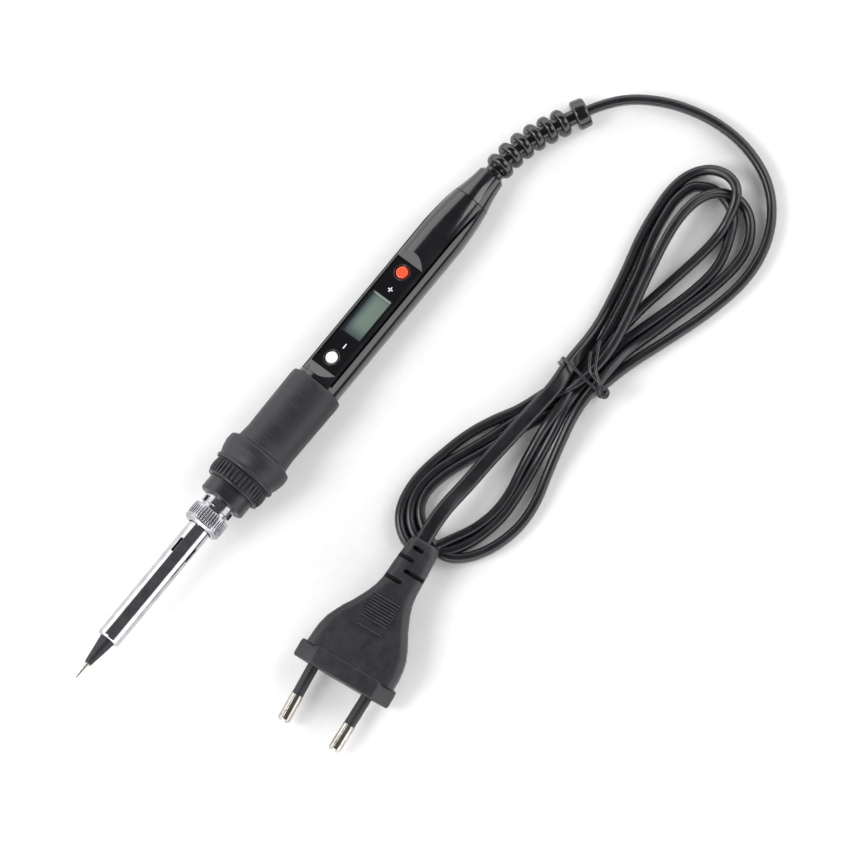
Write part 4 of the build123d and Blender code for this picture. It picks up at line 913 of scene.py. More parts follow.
@dataclass
class Handle:
    """The grip, the handle's shells, the display and the two buttons."""

    deck_up: float = DECK_UP
    print_height: float = 0.03
    print_sink: float = 0.002
    panel_start: float = 119.8
    panel_end: float = 160.9
    panel_half: float = 4.45
    panel_thickness: float = 0.7
    panel_bevel: float = 0.18
    display_start: float = DISPLAY_START
    display_end: float = DISPLAY_START + DISPLAY_LENGTH
    display_half: float = 3.65
    display_corner: float = 0.55
    display_rim: float = 0.07
    button_stations: tuple[float, float] = (123.8, 157.3)
    button_hole: float = 2.35
    button_rim: float = 2.5
    rim_wire: float = 0.13
    grip_start: float = 79.7
    grip_end: float = 115.0
    grip_bore: float = 7.1
    grip_lines: int = 6
    line_pitch: float = 3.8
    line_wire: float = 0.19
    line_from: float = -23.0
    line_sweep: float = 32.0
    line_pieces: int = 8

    def grip(self) -> bpy.types.Object:
        """The silicone grip: a waved front flange, a slim sleeve and six fine raised lines."""
        start, end = self.grip_start, self.grip_end
        material = SHOP.get(SILICONE)
        parts = [lathe("grip_sleeve", [
            (start, self.grip_bore), (start, 10.1, 0.3), (start + 0.9, 10.35, 0.5),
            (start + 1.4, 9.9, 0.4), (start + 3.2, 10.55, 1.2), (start + 5.6, 11.05, 1.3),
            (start + 8.0, 10.9, 0.9), (start + 9.0, 9.0, 1.0), (start + 13.0, 8.62, 4.0),
            (end - 20.0, 8.68), (end - 2.0, 8.9, 1.0), (end, 8.75, 0.7),
            (end, self.grip_bore)], IRON, material, 128)]
        for number in range(self.grip_lines):
            parts.append(self.grip_line(start + 9.9 + number * self.line_pitch, material))
        out = joined("ribbed_silicone_grip", parts, material)
        return settle(out, "handle", "grip_rubber", "grip")

    def grip_line(self, station: float, material: bpy.types.Material) -> bpy.types.Object:
        """One fine raised line across the sleeve, half sunk in it.

        Args:
            station: where it is along the iron.
            material: the grip's material.

        Returns:
            The line.
        """
        # The sleeve is slimmest at its waist, and rises to its flange and to its back.
        radius = 8.66 + max(station - 95.0, 0.0) * 0.0122 + max(92.7 - station, 0.0) * 0.07
        arc = []
        for step in range(self.line_pieces + 1):
            angle = math.radians(self.line_from + self.line_sweep * step / self.line_pieces)
            arc.append(IRON.at(station, radius * math.sin(angle), radius * math.cos(angle)))
        return tube("grip_line", arc, self.line_wire * MM, material, 8)

    def sign(self, name: str, marks: Sequence[Mark]) -> bpy.types.Object:
        """A printed sign made of thin bars on the display panel.

        Args:
            name: the sign's name.
            marks: its bars.

        Returns:
            The sign.
        """
        points, faces = [], []
        for mark in marks:
            first = len(points)
            for up in (self.deck_up + self.print_sink, self.deck_up + self.print_height):
                for a, b in ((-1, -1), (1, -1), (1, 1), (-1, 1)):
                    points.append(IRON.at(mark.station + a * mark.along / 2,
                                          mark.side + b * mark.across / 2, up))
            faces += [tuple(first + k for k in face) for face in (
                (3, 2, 1, 0), (4, 5, 6, 7), (0, 1, 5, 4), (1, 2, 6, 5), (2, 3, 7, 6), (3, 0, 4, 7))]
        sign = solid(name, points, faces, SHOP.get(PRINT))
        return settle(sign, "handle", "white_plastic")

    def window(self) -> bpy.types.Object:
        """The display panel: a black plate with an opening and two recessed button holes."""
        material = SHOP.get(WINDOW)
        low, high = self.deck_up - self.panel_thickness, self.deck_up
        loops = []
        for inset, up in ((0.0, low), (0.0, high - self.panel_bevel), (self.panel_bevel, high)):
            near, far = self.panel_start + inset, self.panel_end - inset
            half = self.panel_half - inset
            loops.append([IRON.at(a, b, up) for a, b in (
                (near, -half), (far, -half), (far, half), (near, half))])
        plate = skin("panel_plate", loops, material, 25.0)
        cutters = [self.prism(self.display_start, self.display_end, self.display_half,
                              self.display_corner)]
        for station in self.button_stations:
            cutters.append(self.prism(station, station, self.button_hole, self.button_hole))
        for cutter in cutters:
            modifier = plate.modifiers.new("hole", "BOOLEAN")
            modifier.operation = "DIFFERENCE"
            modifier.solver = "EXACT"
            modifier.object = cutter
        plate = evaluated(plate, "panel_cut", material)
        plate.data.shade_smooth()
        plate.data.set_sharp_from_angle(angle=math.radians(20))
        for cutter in cutters:
            bpy.data.objects.remove(cutter)
        out = joined("display_panel", [plate] + self.rims(material), material)
        return settle(out, "handle", "window_plastic", "display_window")

    def rims(self, material: bpy.types.Material) -> list[bpy.types.Object]:
        """The fine raised rims round the two button holes and the display's opening."""
        out, high = [], self.deck_up
        angles = [k * math.tau / 40 for k in range(41)]
        for station in self.button_stations:
            circle = [IRON.at(station + self.button_rim * math.cos(angle),
                              self.button_rim * math.sin(angle), high) for angle in angles]
            out.append(tube("button_rim", circle, self.rim_wire * MM, material, 8))
        start, end, half = self.display_start, self.display_end, self.display_half
        corners = [IRON.at(a, b, high - 0.02) for a, b in (
            (start, -half), (start, half), (end, half), (end, -half), (start, -half))]
        for first, last in zip(corners, corners[1:]):
            out.append(tube("display_rim", [first, last], self.display_rim * MM, material, 8))
        return out

    def prism(self, start: float, end: float, half: float, corner: float) -> bpy.types.Object:
        """A cutter that stands up through the panel, with rounded corners.

        Args:
            start: the station where it starts.
            end: the station where it ends, or the same one for a round cutter.
            half: half its width.
            corner: the radius of its corners.

        Returns:
            The cutter.
        """
        reach = corner if start != end else 0.0
        outline = []
        for number, (a, b) in enumerate(((end, 1), (start, -1), (start, -1), (end, 1))):
            side = 1 if number in (0, 1) else -1
            for k in range(9):
                angle = math.pi / 2 * (number + k / 8)
                outline.append((a - b * reach + corner * math.cos(angle),
                                side * (half - corner) + corner * math.sin(angle)))
        over = 1.0
        heights = (self.deck_up - self.panel_thickness - over, self.deck_up + over)
        loops = [[IRON.at(a, b, up) for a, b in outline] for up in heights]
        return skin("cutter", loops, SHOP.get(WINDOW))

    def build(self) -> None:
        """Finish the handle's pieces and print its two signs."""
        self.grip()
        for node in ("handle_body", "top_cover", "tail_cap"):
            SHOP.dress(node, ABS_GLOSS)
        self.window()
        SHOP.dress("lcd_glass", LCD)
        SHOP.dress("minus_button", WHITE_KEY)
        SHOP.dress("plus_button", RED_KEY)
        self.sign("minus_sign", [Mark(128.9, -0.95, 1.7, 0.35)])
        self.sign("plus_sign", [Mark(151.0, -0.6, 0.35, 1.7), Mark(151.0, -0.6, 1.7, 0.35)])


class Electronics:
    """What the handle and the plug hold: board, switches, parts and wires."""

    def build(self) -> None:
        """Finish every hidden piece."""
        for node, finish in {
            "lcd_holder": WHITE_PLASTIC, "lcd_pins": TINNED_COPPER, "circuit_board": SOLDER_MASK,
            "switch_bodies": EPOXY, "minus_plunger": EPOXY, "plus_plunger": EPOXY,
            "controller_chip": EPOXY, "triac": EPOXY, "dropper_capacitor": CAPACITOR_FILM,
            "smoothing_capacitor": CAPACITOR_SLEEVE, "fuse": FUSE_GLASS, "resistors": RESISTOR,
            "heater_leads": PTFE, "lead_sleeves": GLASS_BRAID, "mains_wires": PTFE,
            "plug_bridge": EPOXY, "plug_crimps": TINNED_COPPER,
        }.items():
            SHOP.dress(node, finish)


# ------------------------------------------------------------------ the lead
@dataclass
class StrainRelief:
    """The flexible relief behind the tail cap: a core, leaning ribs and a collar."""

    tail_end: float = TAIL_END
    root: float = 3.5
    straight: float = 2.0
    bend_radius: float = 45.0
    bend: float = 22.0
    ease_radius: float = 200.0
    ease: float = 4.5
    core_radius: float = 2.35
    rib_radius: float = 4.6
    rib_half: float = 1.55
    ribs: int = 6
    first_rib: float = 3.4
    rib_pitch: float = 4.5
    lean: float = 15.0
    collar_radius: float = 4.8
    collar_length: float = 4.6

    def place(self, distance: float) -> tuple[Vector, Vector]:
        """A point of the relief's line and its direction.

        Args:
            distance: millimetres along the line from the tail cap.

        Returns:
            The point in metres and the unit direction.
        """
        level = IRON.x
        sideways = Vector((0.0, -1.0, 0.0))
        bend_length = self.bend_radius * math.radians(self.bend)
        start = IRON.at(self.tail_end)
        x, y, angle = min(distance, self.straight), 0.0, 0.0
        if distance > self.straight:
            angle = min((distance - self.straight) / self.bend_radius, math.radians(self.bend))
            x += self.bend_radius * math.sin(angle)
            y += self.bend_radius * (1 - math.cos(angle))
        rest = distance - self.straight - bend_length
        if rest > 0:
            turned = angle + rest / self.ease_radius
            x += self.ease_radius * (math.sin(turned) - math.sin(angle))
            y += self.ease_radius * (math.cos(angle) - math.cos(turned))
            angle = turned
        direction = level * math.cos(angle) + sideways * math.sin(angle)
        return start + (level * x + sideways * y) * MM, direction

    def length(self) -> float:
        """The line's length in millimetres."""
        return (self.straight + self.bend_radius * math.radians(self.bend)
                + self.ease_radius * math.radians(self.ease))

    def turned(self, name: str, profile: Sequence[Point], distance: float) -> bpy.types.Object:
        """A turned piece across the relief's line.

        Args:
            name: the piece's name.
            profile: its outline, as lathe takes it.
            distance: millimetres along the line to its own zero.

        Returns:
            The piece.
        """
        point, along = self.place(distance)
        up = IRON.x.cross(Vector((0.0, 1.0, 0.0))).normalized()
        axes = Axes(point, along, up.cross(along).normalized(), up)
        return lathe(name, profile, axes, SHOP.get(RELIEF_PVC), 48)

    def build(self) -> bpy.types.Object:
        """Make the relief as one piece."""
        material = SHOP.get(RELIEF_PVC)
        count = 40
        line = [self.place(self.length() * i / count)[0] for i in range(count + 1)]
        line.insert(0, IRON.at(self.tail_end - self.root))
        core = tube("relief_core", line, self.core_radius * MM, material, 32)
        foot = self.turned("relief_foot", [
            (-self.root, 0.0), (-self.root, 3.0), (1.2, 3.0, 0.4), (2.0, 2.3), (2.0, 0.0)], 0.0)
        rib = lathe("rib", [
            (-self.rib_half * 0.75, 0.0), (-self.rib_half * 0.75, 2.2),
            (-self.rib_half, self.rib_radius - 0.3, 1.0), (self.rib_half, self.rib_radius, 1.0),
            (self.rib_half * 0.75, 2.2), (self.rib_half * 0.75, 0.0)], IRON, material, 40, place=False)
        rib.data.transform(Matrix.Scale(MM, 4) @ Matrix.Rotation(-math.pi / 2, 4, "Y"))
        path = bpy.data.curves.new("rib_line", "CURVE")
        path.dimensions = "3D"
        spline = path.splines.new("POLY")
        stations = [self.first_rib + self.rib_pitch * (self.ribs - 1) * i / 30 for i in range(31)]
        spline.points.add(len(stations) - 1)
        for knot, station in zip(spline.points, stations):
            knot.co = (*self.place(station)[0], 1.0)
        line_object = bpy.data.objects.new("rib_line", path)
        bpy.context.scene.collection.objects.link(line_object)
        modify(line_object, ribs_on_path_group(), {
            "Count": self.ribs, "Rib": rib, "Lean": math.radians(self.lean), "Material": material})
        ribs = evaluated(line_object, "relief_ribs", material)
        bpy.data.objects.remove(rib)
        collar = self.turned("relief_collar", [
            (-self.collar_length, 0.0), (-self.collar_length, self.collar_radius, 1.1),
            (-0.2, self.collar_radius - 0.25, 1.0), (0.0, 2.6, 0.2), (0.0, 0.0)], self.length())
        out = joined("ribbed_strain_relief", [core, foot, ribs, collar], material)
        return settle(out, "handle", "relief_rubber", "strain_relief")


@dataclass
class Lead:
    """The flat two-core lead, from the strain relief through the hank to the plug."""

    width: float = 5.0
    thickness: float = 3.0
    valley: float = 0.1
    exit_run: float = 9.0
    neck_end: float = 49.3
    neck_depth: float = 1.0
    flat_run: float = 62.0
    turn_run: float = 30.0

    def route(self, relief: StrainRelief) -> list[Vector]:
        """The control points of the whole lead, from the relief to the plug.

        Args:
            relief: the strain relief that it comes out of.

        Returns:
            The points, in metres.
        """
        start, along = relief.place(relief.length())
        first = [start, start + along * self.exit_run * MM]
        arc = [
            (149.3, -25.2, 3.0), (154.2, -39.0, 2.5), (154.6, -53.5, 2.6), (149.6, -67.0, 2.5),
            (138.6, -76.0, 2.6), (124.5, -79.2, 2.5), (108.5, -76.6, 2.6), (93.0, -71.8, 2.5),
            (79.0, -67.2, 3.0), (68.5, -65.4, 3.6),
        ]
        inner = [
            (61.0, -62.0, 2.6), (54.0, -58.6, 2.5), (46.0, -55.2, 2.5), (39.0, -52.6, 2.5),
            (33.0, -50.9, 2.5), (25.2, -47.6, 2.5), (18.0, -45.4, 2.5), (12.0, -44.9, 2.5),
            (7.6, -46.4, 2.5), (4.6, -49.2, 2.5), (2.6, -53.0, 2.5), (1.0, -57.4, 2.5),
            (0.4, -61.0, 2.5), (2.6, -65.2, 2.5), (7.2, -69.0, 2.5), (13.9, -72.0, 2.5),
            (22.6, -73.6, 2.5), (31.3, -72.6, 2.5), (39.6, -69.8, 3.0), (48.1, -67.4, 5.0),
            (58.4, -64.8, 7.9), (68.3, -64.4, 8.1), (77.6, -64.4, 6.5), (84.7, -65.1, 3.4),
            (92.5, -67.3, 2.5), (102.5, -69.6, 2.5), (112.1, -72.1, 2.5), (118.0, -73.2, 2.5),
            (124.2, -73.8, 2.5), (130.2, -73.2, 2.5), (135.2, -70.8, 2.5), (138.6, -67.4, 2.5),
            (140.4, -63.2, 2.5), (139.9, -58.6, 3.5), (137.0, -54.6, 5.0), (132.0, -52.2, 6.5),
            (125.2, -51.6, 7.5), (117.8, -52.4, 7.5), (108.8, -54.4, 7.5), (99.6, -56.7, 7.5),
            (92.5, -58.7, 7.5), (83.6, -60.6, 7.9), (76.2, -61.4, 8.1), (68.3, -60.8, 8.1),
        ]
        middle = [
            (60.5, -57.6, 5.6), (54.0, -54.8, 3.0), (46.3, -52.1, 2.5), (38.5, -49.8, 2.5),
            (31.5, -47.4, 2.5), (23.3, -44.4, 2.5), (17.2, -42.6, 2.5), (10.4, -42.5, 2.5),
            (5.0, -44.5, 2.5), (1.2, -48.0, 2.5), (-0.6, -52.4, 2.5), (-0.6, -57.4, 2.5),
            (2.0, -61.4, 2.5), (6.6, -64.2, 2.5), (13.0, -66.4, 2.5), (21.2, -67.7, 2.5),
            (30.5, -66.8, 2.5), (41.1, -65.0, 3.0), (48.9, -63.7, 5.5), (57.8, -61.8, 7.5),
            (68.3, -61.6, 3.6), (79.7, -62.4, 2.6), (86.0, -62.4, 2.5), (92.3, -64.1, 2.5),
            (101.8, -66.7, 2.5), (110.0, -68.7, 2.5), (118.3, -69.8, 2.5), (124.3, -69.0, 2.5),
            (129.8, -66.9, 2.5), (134.8, -64.4, 2.5), (137.2, -61.0, 2.5), (138.2, -57.6, 2.5),
            (138.2, -53.8, 2.5), (136.4, -50.6, 2.5), (134.3, -48.0, 2.5), (128.3, -46.9, 3.0),
            (123.7, -47.3, 2.5), (117.7, -48.3, 2.5), (111.8, -49.9, 2.5), (104.9, -52.4, 2.5),
            (97.5, -54.2, 2.5), (89.9, -55.7, 2.5), (81.1, -57.4, 3.0), (68.3, -57.2, 3.6),
        ]
        outer = [
            (58.5, -53.8, 2.6), (49.4, -51.0, 2.5), (42.1, -46.9, 2.5), (33.4, -43.4, 2.5),
            (22.9, -41.3, 2.5), (15.5, -40.2, 2.5), (8.4, -40.6, 2.5), (2.6, -42.5, 2.5),
            (-1.2, -45.9, 2.5), (-3.4, -50.4, 2.5), (-3.2, -54.6, 2.5), (0.4, -57.4, 2.5),
            (6.4, -60.2, 2.5), (12.4, -63.2, 2.5), (19.9, -65.1, 2.5), (27.9, -64.9, 2.5),
            (35.6, -62.8, 2.5), (43.4, -61.4, 4.0), (51.1, -60.3, 7.4), (59.5, -60.4, 7.0),
            (68.3, -58.6, 3.6), (79.0, -58.9, 2.6), (88.0, -59.4, 2.5), (97.3, -60.0, 2.5),
            (104.3, -61.2, 2.5), (109.2, -61.9, 2.5), (117.5, -63.2, 2.5), (124.5, -64.0, 2.5),
            (131.4, -63.8, 3.5), (138.0, -62.2, 7.0), (142.6, -59.6, 7.5), (144.0, -54.6, 6.0),
            (142.0, -49.0, 3.5), (136.9, -45.2, 2.5), (130.0, -43.9, 2.5), (121.6, -44.6, 2.5),
            (112.6, -46.0, 2.5), (103.6, -48.7, 2.5), (96.0, -50.6, 2.5), (87.4, -52.5, 2.6),
            (79.5, -54.0, 4.6), (68.3, -54.6, 8.1),
        ]
        plug_side = [(61.0, -55.6, 9.8), (52.0, -55.0, 9.4), (42.0, -54.3, 8.4), (31.0, -53.7, 7.8),
                     (20.0, -53.4, 8.2)]
        last = [PLUG.at(self.neck_end + self.exit_run), PLUG.at(self.neck_end - self.neck_depth)]
        traced = [Vector(p) * MM for p in arc + inner + middle + outer + plug_side]
        return first + traced + last

    def section(self) -> list[tuple[float, float]]:
        """The flat cord's outline: two rounded edges and a shallow valley between the cores."""
        out, flat = [], (self.width - self.thickness) / 2
        radius = self.thickness / 2
        for hand in (1, -1):
            for k in range(9):
                angle = math.pi * (k / 8 - 0.5)
                out.append((hand * (flat + radius * math.cos(angle)), hand * radius * math.sin(angle)))
            out.append((0.0, hand * (radius - self.valley)))
        return out

    def build(self, relief: StrainRelief) -> tuple[bpy.types.Object, list[Vector], float]:
        """Make the lead's mesh along its smooth line.

        Args:
            relief: the strain relief that it comes out of.

        Returns:
            The piece, the line's points and the line's length in metres.
        """
        line = nurbs_line(self.route(relief), 6)
        lengths = [0.0]
        for a, b in zip(line, line[1:]):
            lengths.append(lengths[-1] + (b - a).length)
        total = lengths[-1]
        sections = []
        for i, point in enumerate(line):
            along = (line[min(i + 1, len(line) - 1)] - line[max(i - 1, 0)]).normalized()
            across = along.cross(Vector((0, 0, 1))).normalized()
            up = across.cross(along)
            # The lead stands on its edge, and turns flat on its way to the plug.
            left = (total - lengths[i]) / MM
            laid = min(max((self.flat_run + self.turn_run - left) / self.turn_run, 0.0), 1.0)
            roll = math.pi / 2 * laid * laid * (3 - 2 * laid)
            long_way = up * math.cos(roll) + across * math.sin(roll)
            short_way = across * math.cos(roll) - up * math.sin(roll)
            sections.append([point + (long_way * p + short_way * q) * MM for p, q in self.section()])
        return skin("mains_lead", sections, SHOP.get(CORD_PVC), 50.0), line, total


@dataclass
class TwistTie:
    """The coated wire round the hank, with its knot and its two free ends."""

    wire: float = 0.5
    low: float = 0.5
    high: float = 11.2
    left: float = -68.0
    right: float = -51.7

    def build(self) -> bpy.types.Object:
        """Make the tie as one piece, from four wires whose points are listed."""
        material = SHOP.get(TIE_PVC)
        low, high, left, right = self.low, self.high, self.left, self.right
        loop = [
            (68.0, right + 0.6, 3.0), (68.6, right, 6.0), (69.2, right + 0.3, 9.8),
            (69.0, right - 1.2, high + 0.1), (68.8, right - 4.0, high + 0.3),
            (68.3, -60.0, high + 0.3), (67.9, left + 3.6, high + 0.3),
            (68.0, left + 1.2, high), (68.1, left + 0.2, 9.6), (68.0, left, 6.0), (67.8, left + 0.4, 2.4),
            (68.0, left + 2.0, low), (68.0, -60.0, low), (68.0, right - 2.0, low), (68.0, right - 0.2, 1.2),
            (68.0, right + 0.6, 3.0)]
        near = [
            (68.2, left + 0.4, 10.6), (69.3, left - 0.6, 11.4), (69.0, left - 1.0, 12.2),
            (67.7, left - 0.7, 12.4),
            (67.4, left + 0.4, 12.4), (68.6, -66.4, 12.2), (69.9, -65.2, 12.0), (70.3, -63.0, 11.9),
            (70.6, -61.2, 11.9), (72.2, -59.2, 11.8), (75.8, -57.2, 11.6)]
        far = [
            (68.0, left + 0.6, 10.4), (67.2, left - 0.6, 11.2), (67.8, left - 1.5, 11.8),
            (69.2, left - 1.3, 12.0),
            (69.9, left - 0.2, 12.1), (69.4, -66.0, 12.4), (70.8, -63.8, 12.2), (72.3, -61.6, 12.0),
            (75.7, -59.4, 11.9), (80.0, -57.2, 11.6)]
        knot = [
            (67.0, left + 0.6, 11.2), (68.0, left + 1.2, 12.6), (69.4, left + 0.6, 12.4),
            (70.0, left - 0.6, 11.4),
            (69.0, left - 1.4, 10.8), (67.6, left - 1.0, 11.0), (67.0, left + 0.2, 11.8)]
        parts = []
        for name, points in (("loop", loop), ("near", near), ("far", far), ("knot", knot)):
            line = nurbs_line([Vector(p) * MM for p in points], 8)
            parts.append(tube("tie_" + name, line, self.wire * MM, material, 10))
        out = joined("wire_twist_tie", parts, material)
        return settle(out, "handle", "tie_coating", "twist_tie")


@dataclass(frozen=True)
class PlugSection:
    """One section across the plug, in millimetres.

    It holds the distance from the pin face, half the width, half the height, how far its middle
    lies to one side, and the radius of its corners.
    """

    along: float
    half_width: float
    half_height: float
    shift: float = 0.0
    corner: float = 3.0


@dataclass(frozen=True)
class NeckSlot:
    """A slit across the plug's neck: where it is and how far it runs to each side."""

    along: float
    low: float
    high: float


@dataclass
class Plug:
    """The two-pin plug: face flange, bell-shaped body, grip ribs and slotted neck."""

    flange: float = 5.8
    flange_half_width: float = 17.2
    flange_half_height: float = PLUG_HALF_HEIGHT
    flange_corner: float = 2.0
    slot_width: float = 1.35
    slot_floor: float = 1.2
    slot_top: float = 9.0
    rib_start: float = 20.6
    rib_pitch: float = 0.95
    rib_half: float = 4.6
    rib_wire: float = 0.3
    ribs: int = 9
    lone_rib: float = 17.7
    lone_rib_half: float = 4.5

    def sections(self) -> list[PlugSection]:
        """The body's sections from behind the flange to the end of the neck."""
        return [PlugSection(*sizes) for sizes in (
            (5.5, 14.9, 6.1, -0.2), (9.0, 14.8, 6.05, -0.3), (12.0, 14.5, 6.0, -0.3),
            (15.3, 13.7, 5.95, -0.35), (18.0, 12.5, 5.85, -0.4), (20.5, 11.2, 5.7, -0.4),
            (23.2, 9.6, 5.5, -0.5), (25.4, 8.5, 5.3, -0.6), (28.0, 7.3, 5.1, -0.7),
            (30.5, 6.4, 4.9, -0.8), (32.5, 6.0, 4.7, -0.9), (34.0, 5.75, 4.5, -0.95),
            (40.0, 5.5, 4.3, -1.1), (45.5, 5.1, 4.1, -1.2), (48.4, 4.8, 4.0, -1.25),
            (49.1, 4.3, 3.6, -1.25))]

    def slots(self) -> list[NeckSlot]:
        """The slits in the neck, from its end towards the body, open to one side in turn."""
        return [NeckSlot(46.0, -2.3, 1.4), NeckSlot(42.2, -1.1, 8.0),
                NeckSlot(38.5, -9.0, 0.2), NeckSlot(34.7, -1.2, 8.0)]

    def ring(self, section: PlugSection) -> list[Vector]:
        """The points round one section, a rectangle with rounded corners, in metres."""
        out, w, h = [], section.half_width, section.half_height
        radius = min(section.corner, h * 0.75)
        for corner, (sy, sz) in enumerate(((1, 1), (-1, 1), (-1, -1), (1, -1))):
            for k in range(9):
                angle = math.pi / 2 * (corner + k / 8)
                out.append(PLUG.at(
                    section.along,
                    section.shift + sy * (w - radius) + radius * math.cos(angle),
                    sz * (h - radius) + radius * math.sin(angle)))
        return out

    def flange_ring(self, along: float, inset: float) -> list[Vector]:
        """The points round the flange, a long hexagon with rounded corners.

        Args:
            along: the distance from the pin face.
            inset: how far the outline is drawn in.

        Returns:
            The points, in metres.
        """
        w, h = self.flange_half_width - inset, self.flange_half_height - inset
        flat = w - h * 0.95
        corners = [(w, 0.0), (flat, h), (-flat, h), (-w, 0.0), (-flat, -h), (flat, -h)]
        loop = corners + corners[:2]
        bent = [(*corner, self.flange_corner) for corner in loop[1:-1]]
        closed = rounded([loop[0]] + bent + [loop[-1]], 5)[1:-1]
        return [PLUG.at(along, p.x, p.y) for p in closed]

    def build(self) -> bpy.types.Object:
        """Make the plug's moulding as one piece, and finish its pins."""
        material = SHOP.get(PLUG_PVC)
        body = skin("plug_bell", [self.ring(s) for s in self.sections()], material, 40.0)
        cutters = [cutter for slot in self.slots() for cutter in self.cut(body, slot)]
        body = evaluated(body, "plug_bell_cut", material)
        for cutter in cutters:
            bpy.data.objects.remove(cutter)
        flange = skin("plug_flange", [self.flange_ring(along, inset) for along, inset in (
            (0.0, 0.5), (0.35, 0.1), (0.9, 0.0), (self.flange - 0.9, 0.0),
            (self.flange - 0.35, 0.12), (self.flange, 0.5))], material, 40.0)
        out = joined("moulded_plug", [body, flange] + self.grip_ribs(material), material)
        out.data.shade_smooth()
        out.data.set_sharp_from_angle(angle=math.radians(32))
        SHOP.dress("plug_pins", PIN_NICKEL)
        SHOP.dress("pin_sleeves", EPOXY)
        return settle(out, "handle", "plug_plastic", "plug_body")

    def cut(self, body: bpy.types.Object, slot: NeckSlot) -> list[bpy.types.Object]:
        """Cut one slit into the neck's upper and lower face with a rounded bar.

        Args:
            body: the plug's body.
            slot: the slit.

        Returns:
            The two cutters, which stay until the body is evaluated.
        """
        half = self.slot_width / 2
        outline = []
        for turn, middle in ((0.0, slot.high - half), (math.pi, slot.low + half)):
            for k in range(9):
                angle = turn + math.pi * k / 8
                outline.append((math.cos(angle) * half, middle + math.sin(angle) * half))
        cutters = []
        for heights in ((self.slot_floor, self.slot_top), (-self.slot_top, -self.slot_floor)):
            loops = [[PLUG.at(slot.along + a, b, up) for a, b in outline] for up in heights]
            cutter = skin("slit", loops, body.data.materials[0])
            modifier = body.modifiers.new("slit", "BOOLEAN")
            modifier.operation = "DIFFERENCE"
            modifier.solver = "EXACT"
            modifier.object = cutter
            cutters.append(cutter)
        return cutters

    def grip_ribs(self, material: bpy.types.Material) -> list[bpy.types.Object]:
        """The transverse grip ribs on both faces of the body."""
        out = []
        for hand in (1, -1):
            for k in range(self.ribs):
                out.append(self.rib(self.rib_start + k * self.rib_pitch, self.rib_half, hand, material))
            out.append(self.rib(self.lone_rib, self.lone_rib_half, hand, material))
        return out

    def rib(self, along: float, half: float, hand: int,
            material: bpy.types.Material) -> bpy.types.Object:
        """One grip rib: a low rounded bar across the body.

        Args:
            along: its distance from the pin face.
            half: half its length.
            hand: 1 on the upper face, -1 on the lower one.
            material: the plug's material.

        Returns:
            The rib.
        """
        # The body gets thinner towards its neck.
        height = 6.1 - max(along - 17.0, 0.0) * 0.055
        path = [PLUG.at(along, side, hand * height) for side in (-half, -half / 2, 0.0, half / 2, half)]
        return tube("grip_rib", path, self.rib_wire * MM, material, 8)


# ------------------------------------------------------------------ studio
class Backdrop(Enum):
    """The floor's shade."""

    PALE = "#FBFBFB"


@dataclass(frozen=True)
class SoftBox:
    """A square soft light: where it hangs, its side in metres and its power in watts."""

    name: str
    place: tuple[float, float, float]
    side: float
    power: float


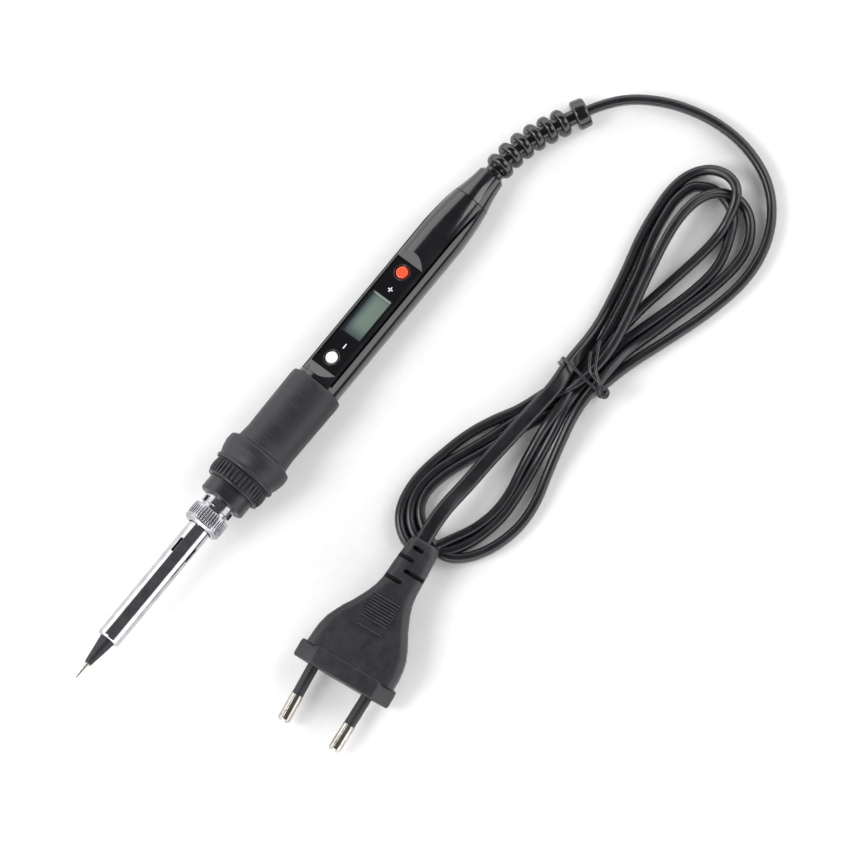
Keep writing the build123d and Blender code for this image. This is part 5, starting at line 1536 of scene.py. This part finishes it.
@dataclass
class Studio:
    """The floor, the lights and the camera."""

    elevation: float = 83.0
    turn: float = 50.7296
    field: float = 0.25556
    centre_right: float = 42.29
    centre_up: float = 1.68
    distance: float = 1.2
    floor_half: float = 3.0
    aim: tuple[float, float, float] = (0.02, -0.02, 0.0)
    lights: tuple[SoftBox, ...] = (
        SoftBox("key", (-0.5, 0.5, 0.9), 0.5, 6.0),
        SoftBox("fill", (0.8, -0.4, 0.9), 0.6, 4.0),
    )
    bright_below: float = 0.52
    dim_above: float = 0.66
    side_strength: float = 2.35
    top_strength: float = 0.12

    def camera(self) -> None:
        """A distant camera, nearly straight above, with the iron turned across its view."""
        phi, lift = math.radians(self.turn), math.radians(self.elevation)
        right = Vector((math.cos(phi), -math.sin(phi), 0.0))
        ground = Vector((math.sin(phi), math.cos(phi), 0.0))
        back = -ground * math.cos(lift) + Vector((0, 0, 1)) * math.sin(lift)
        up = ground * math.sin(lift) + Vector((0, 0, 1)) * math.cos(lift)
        target = (right * self.centre_right + ground * self.centre_up / math.sin(lift)) * MM
        data = bpy.data.cameras.new("camera")
        data.type = "ORTHO"
        data.ortho_scale = self.field
        data.clip_start, data.clip_end = 0.01, 10.0
        camera = bpy.data.objects.new("camera", data)
        camera.matrix_world = Matrix.Translation(target + back * self.distance) @ Matrix(
            (right, up, back)).transposed().to_4x4()
        bpy.context.scene.collection.objects.link(camera)
        bpy.context.scene.camera = camera

    def floor(self) -> None:
        """A wide pale floor."""
        corners = [(a * self.floor_half, b * self.floor_half, 0) for a, b in (
            (-1, -1), (1, -1), (1, 1), (-1, 1))]
        mesh = bpy.data.meshes.new("floor")
        mesh.from_pydata(corners, [], [(0, 1, 2, 3)])
        paper = Moulding("studio_paper", Backdrop.PALE.value, "#F6F6F6", 0.9, 0.03, 2.0, 0.01)
        floor = make_object("floor", mesh, paper.make())

    def light(self, box: SoftBox) -> None:
        """Hang one soft light and turn it to the object."""
        data = bpy.data.lights.new(box.name, "AREA")
        data.shape = "RECTANGLE"
        data.size, data.size_y = box.side, box.side
        data.energy = box.power
        light = bpy.data.objects.new(box.name, data)
        light.location = box.place
        facing = Vector(self.aim) - Vector(box.place)
        light.rotation_euler = facing.to_track_quat("-Z", "Y").to_euler()
        bpy.context.scene.collection.objects.link(light)

    def world(self) -> None:
        """A room that is bright at its sides and darker overhead."""
        world = bpy.data.worlds.new("studio")
        bpy.context.scene.world = world
        world.use_nodes = True
        tree = world.node_tree
        tree.nodes.clear()
        place = add(tree, "ShaderNodeTexCoord").outputs["Generated"]
        height = add(tree, "ShaderNodeSeparateXYZ", None, {0: place}).outputs[2]
        ramp = add(tree, "ShaderNodeMapRange", {"interpolation_type": "SMOOTHSTEP"}, {
            "Value": height, "From Min": self.bright_below, "From Max": self.dim_above,
            "To Min": self.side_strength, "To Max": self.top_strength})
        back = add(tree, "ShaderNodeBackground", None, {
            "Color": (1, 1, 1, 1), "Strength": ramp.outputs[0]})
        add(tree, "ShaderNodeOutputWorld", None, {"Surface": back.outputs[0]})

    def build(self) -> None:
        """Set up the whole studio."""
        self.camera()
        self.floor()
        self.world()
        for box in self.lights:
            self.light(box)
        bpy.context.scene.view_settings.view_transform = "Standard"


def main() -> None:
    """Build the object, from the hot end to the plug, and the studio round it."""
    logging.basicConfig(level=logging.INFO, format="%(message)s")
    Studio().build()
    HotEnd().build()
    FrontFittings().build()
    Handle().build()
    Electronics().build()
    relief = StrainRelief()
    relief_piece = relief.build()
    lead = Lead()
    cord, line, total = lead.build(relief)
    settle(cord, "handle", "cord_jacket", "cord", "cord_hank", "plug_lead")
    tie = TwistTie().build()
    plug = Plug().build()
    tuple(relief.place(relief.length())[0])
    log.info("lead is %.4f m long", total)


if __name__ == "__main__":
    main()
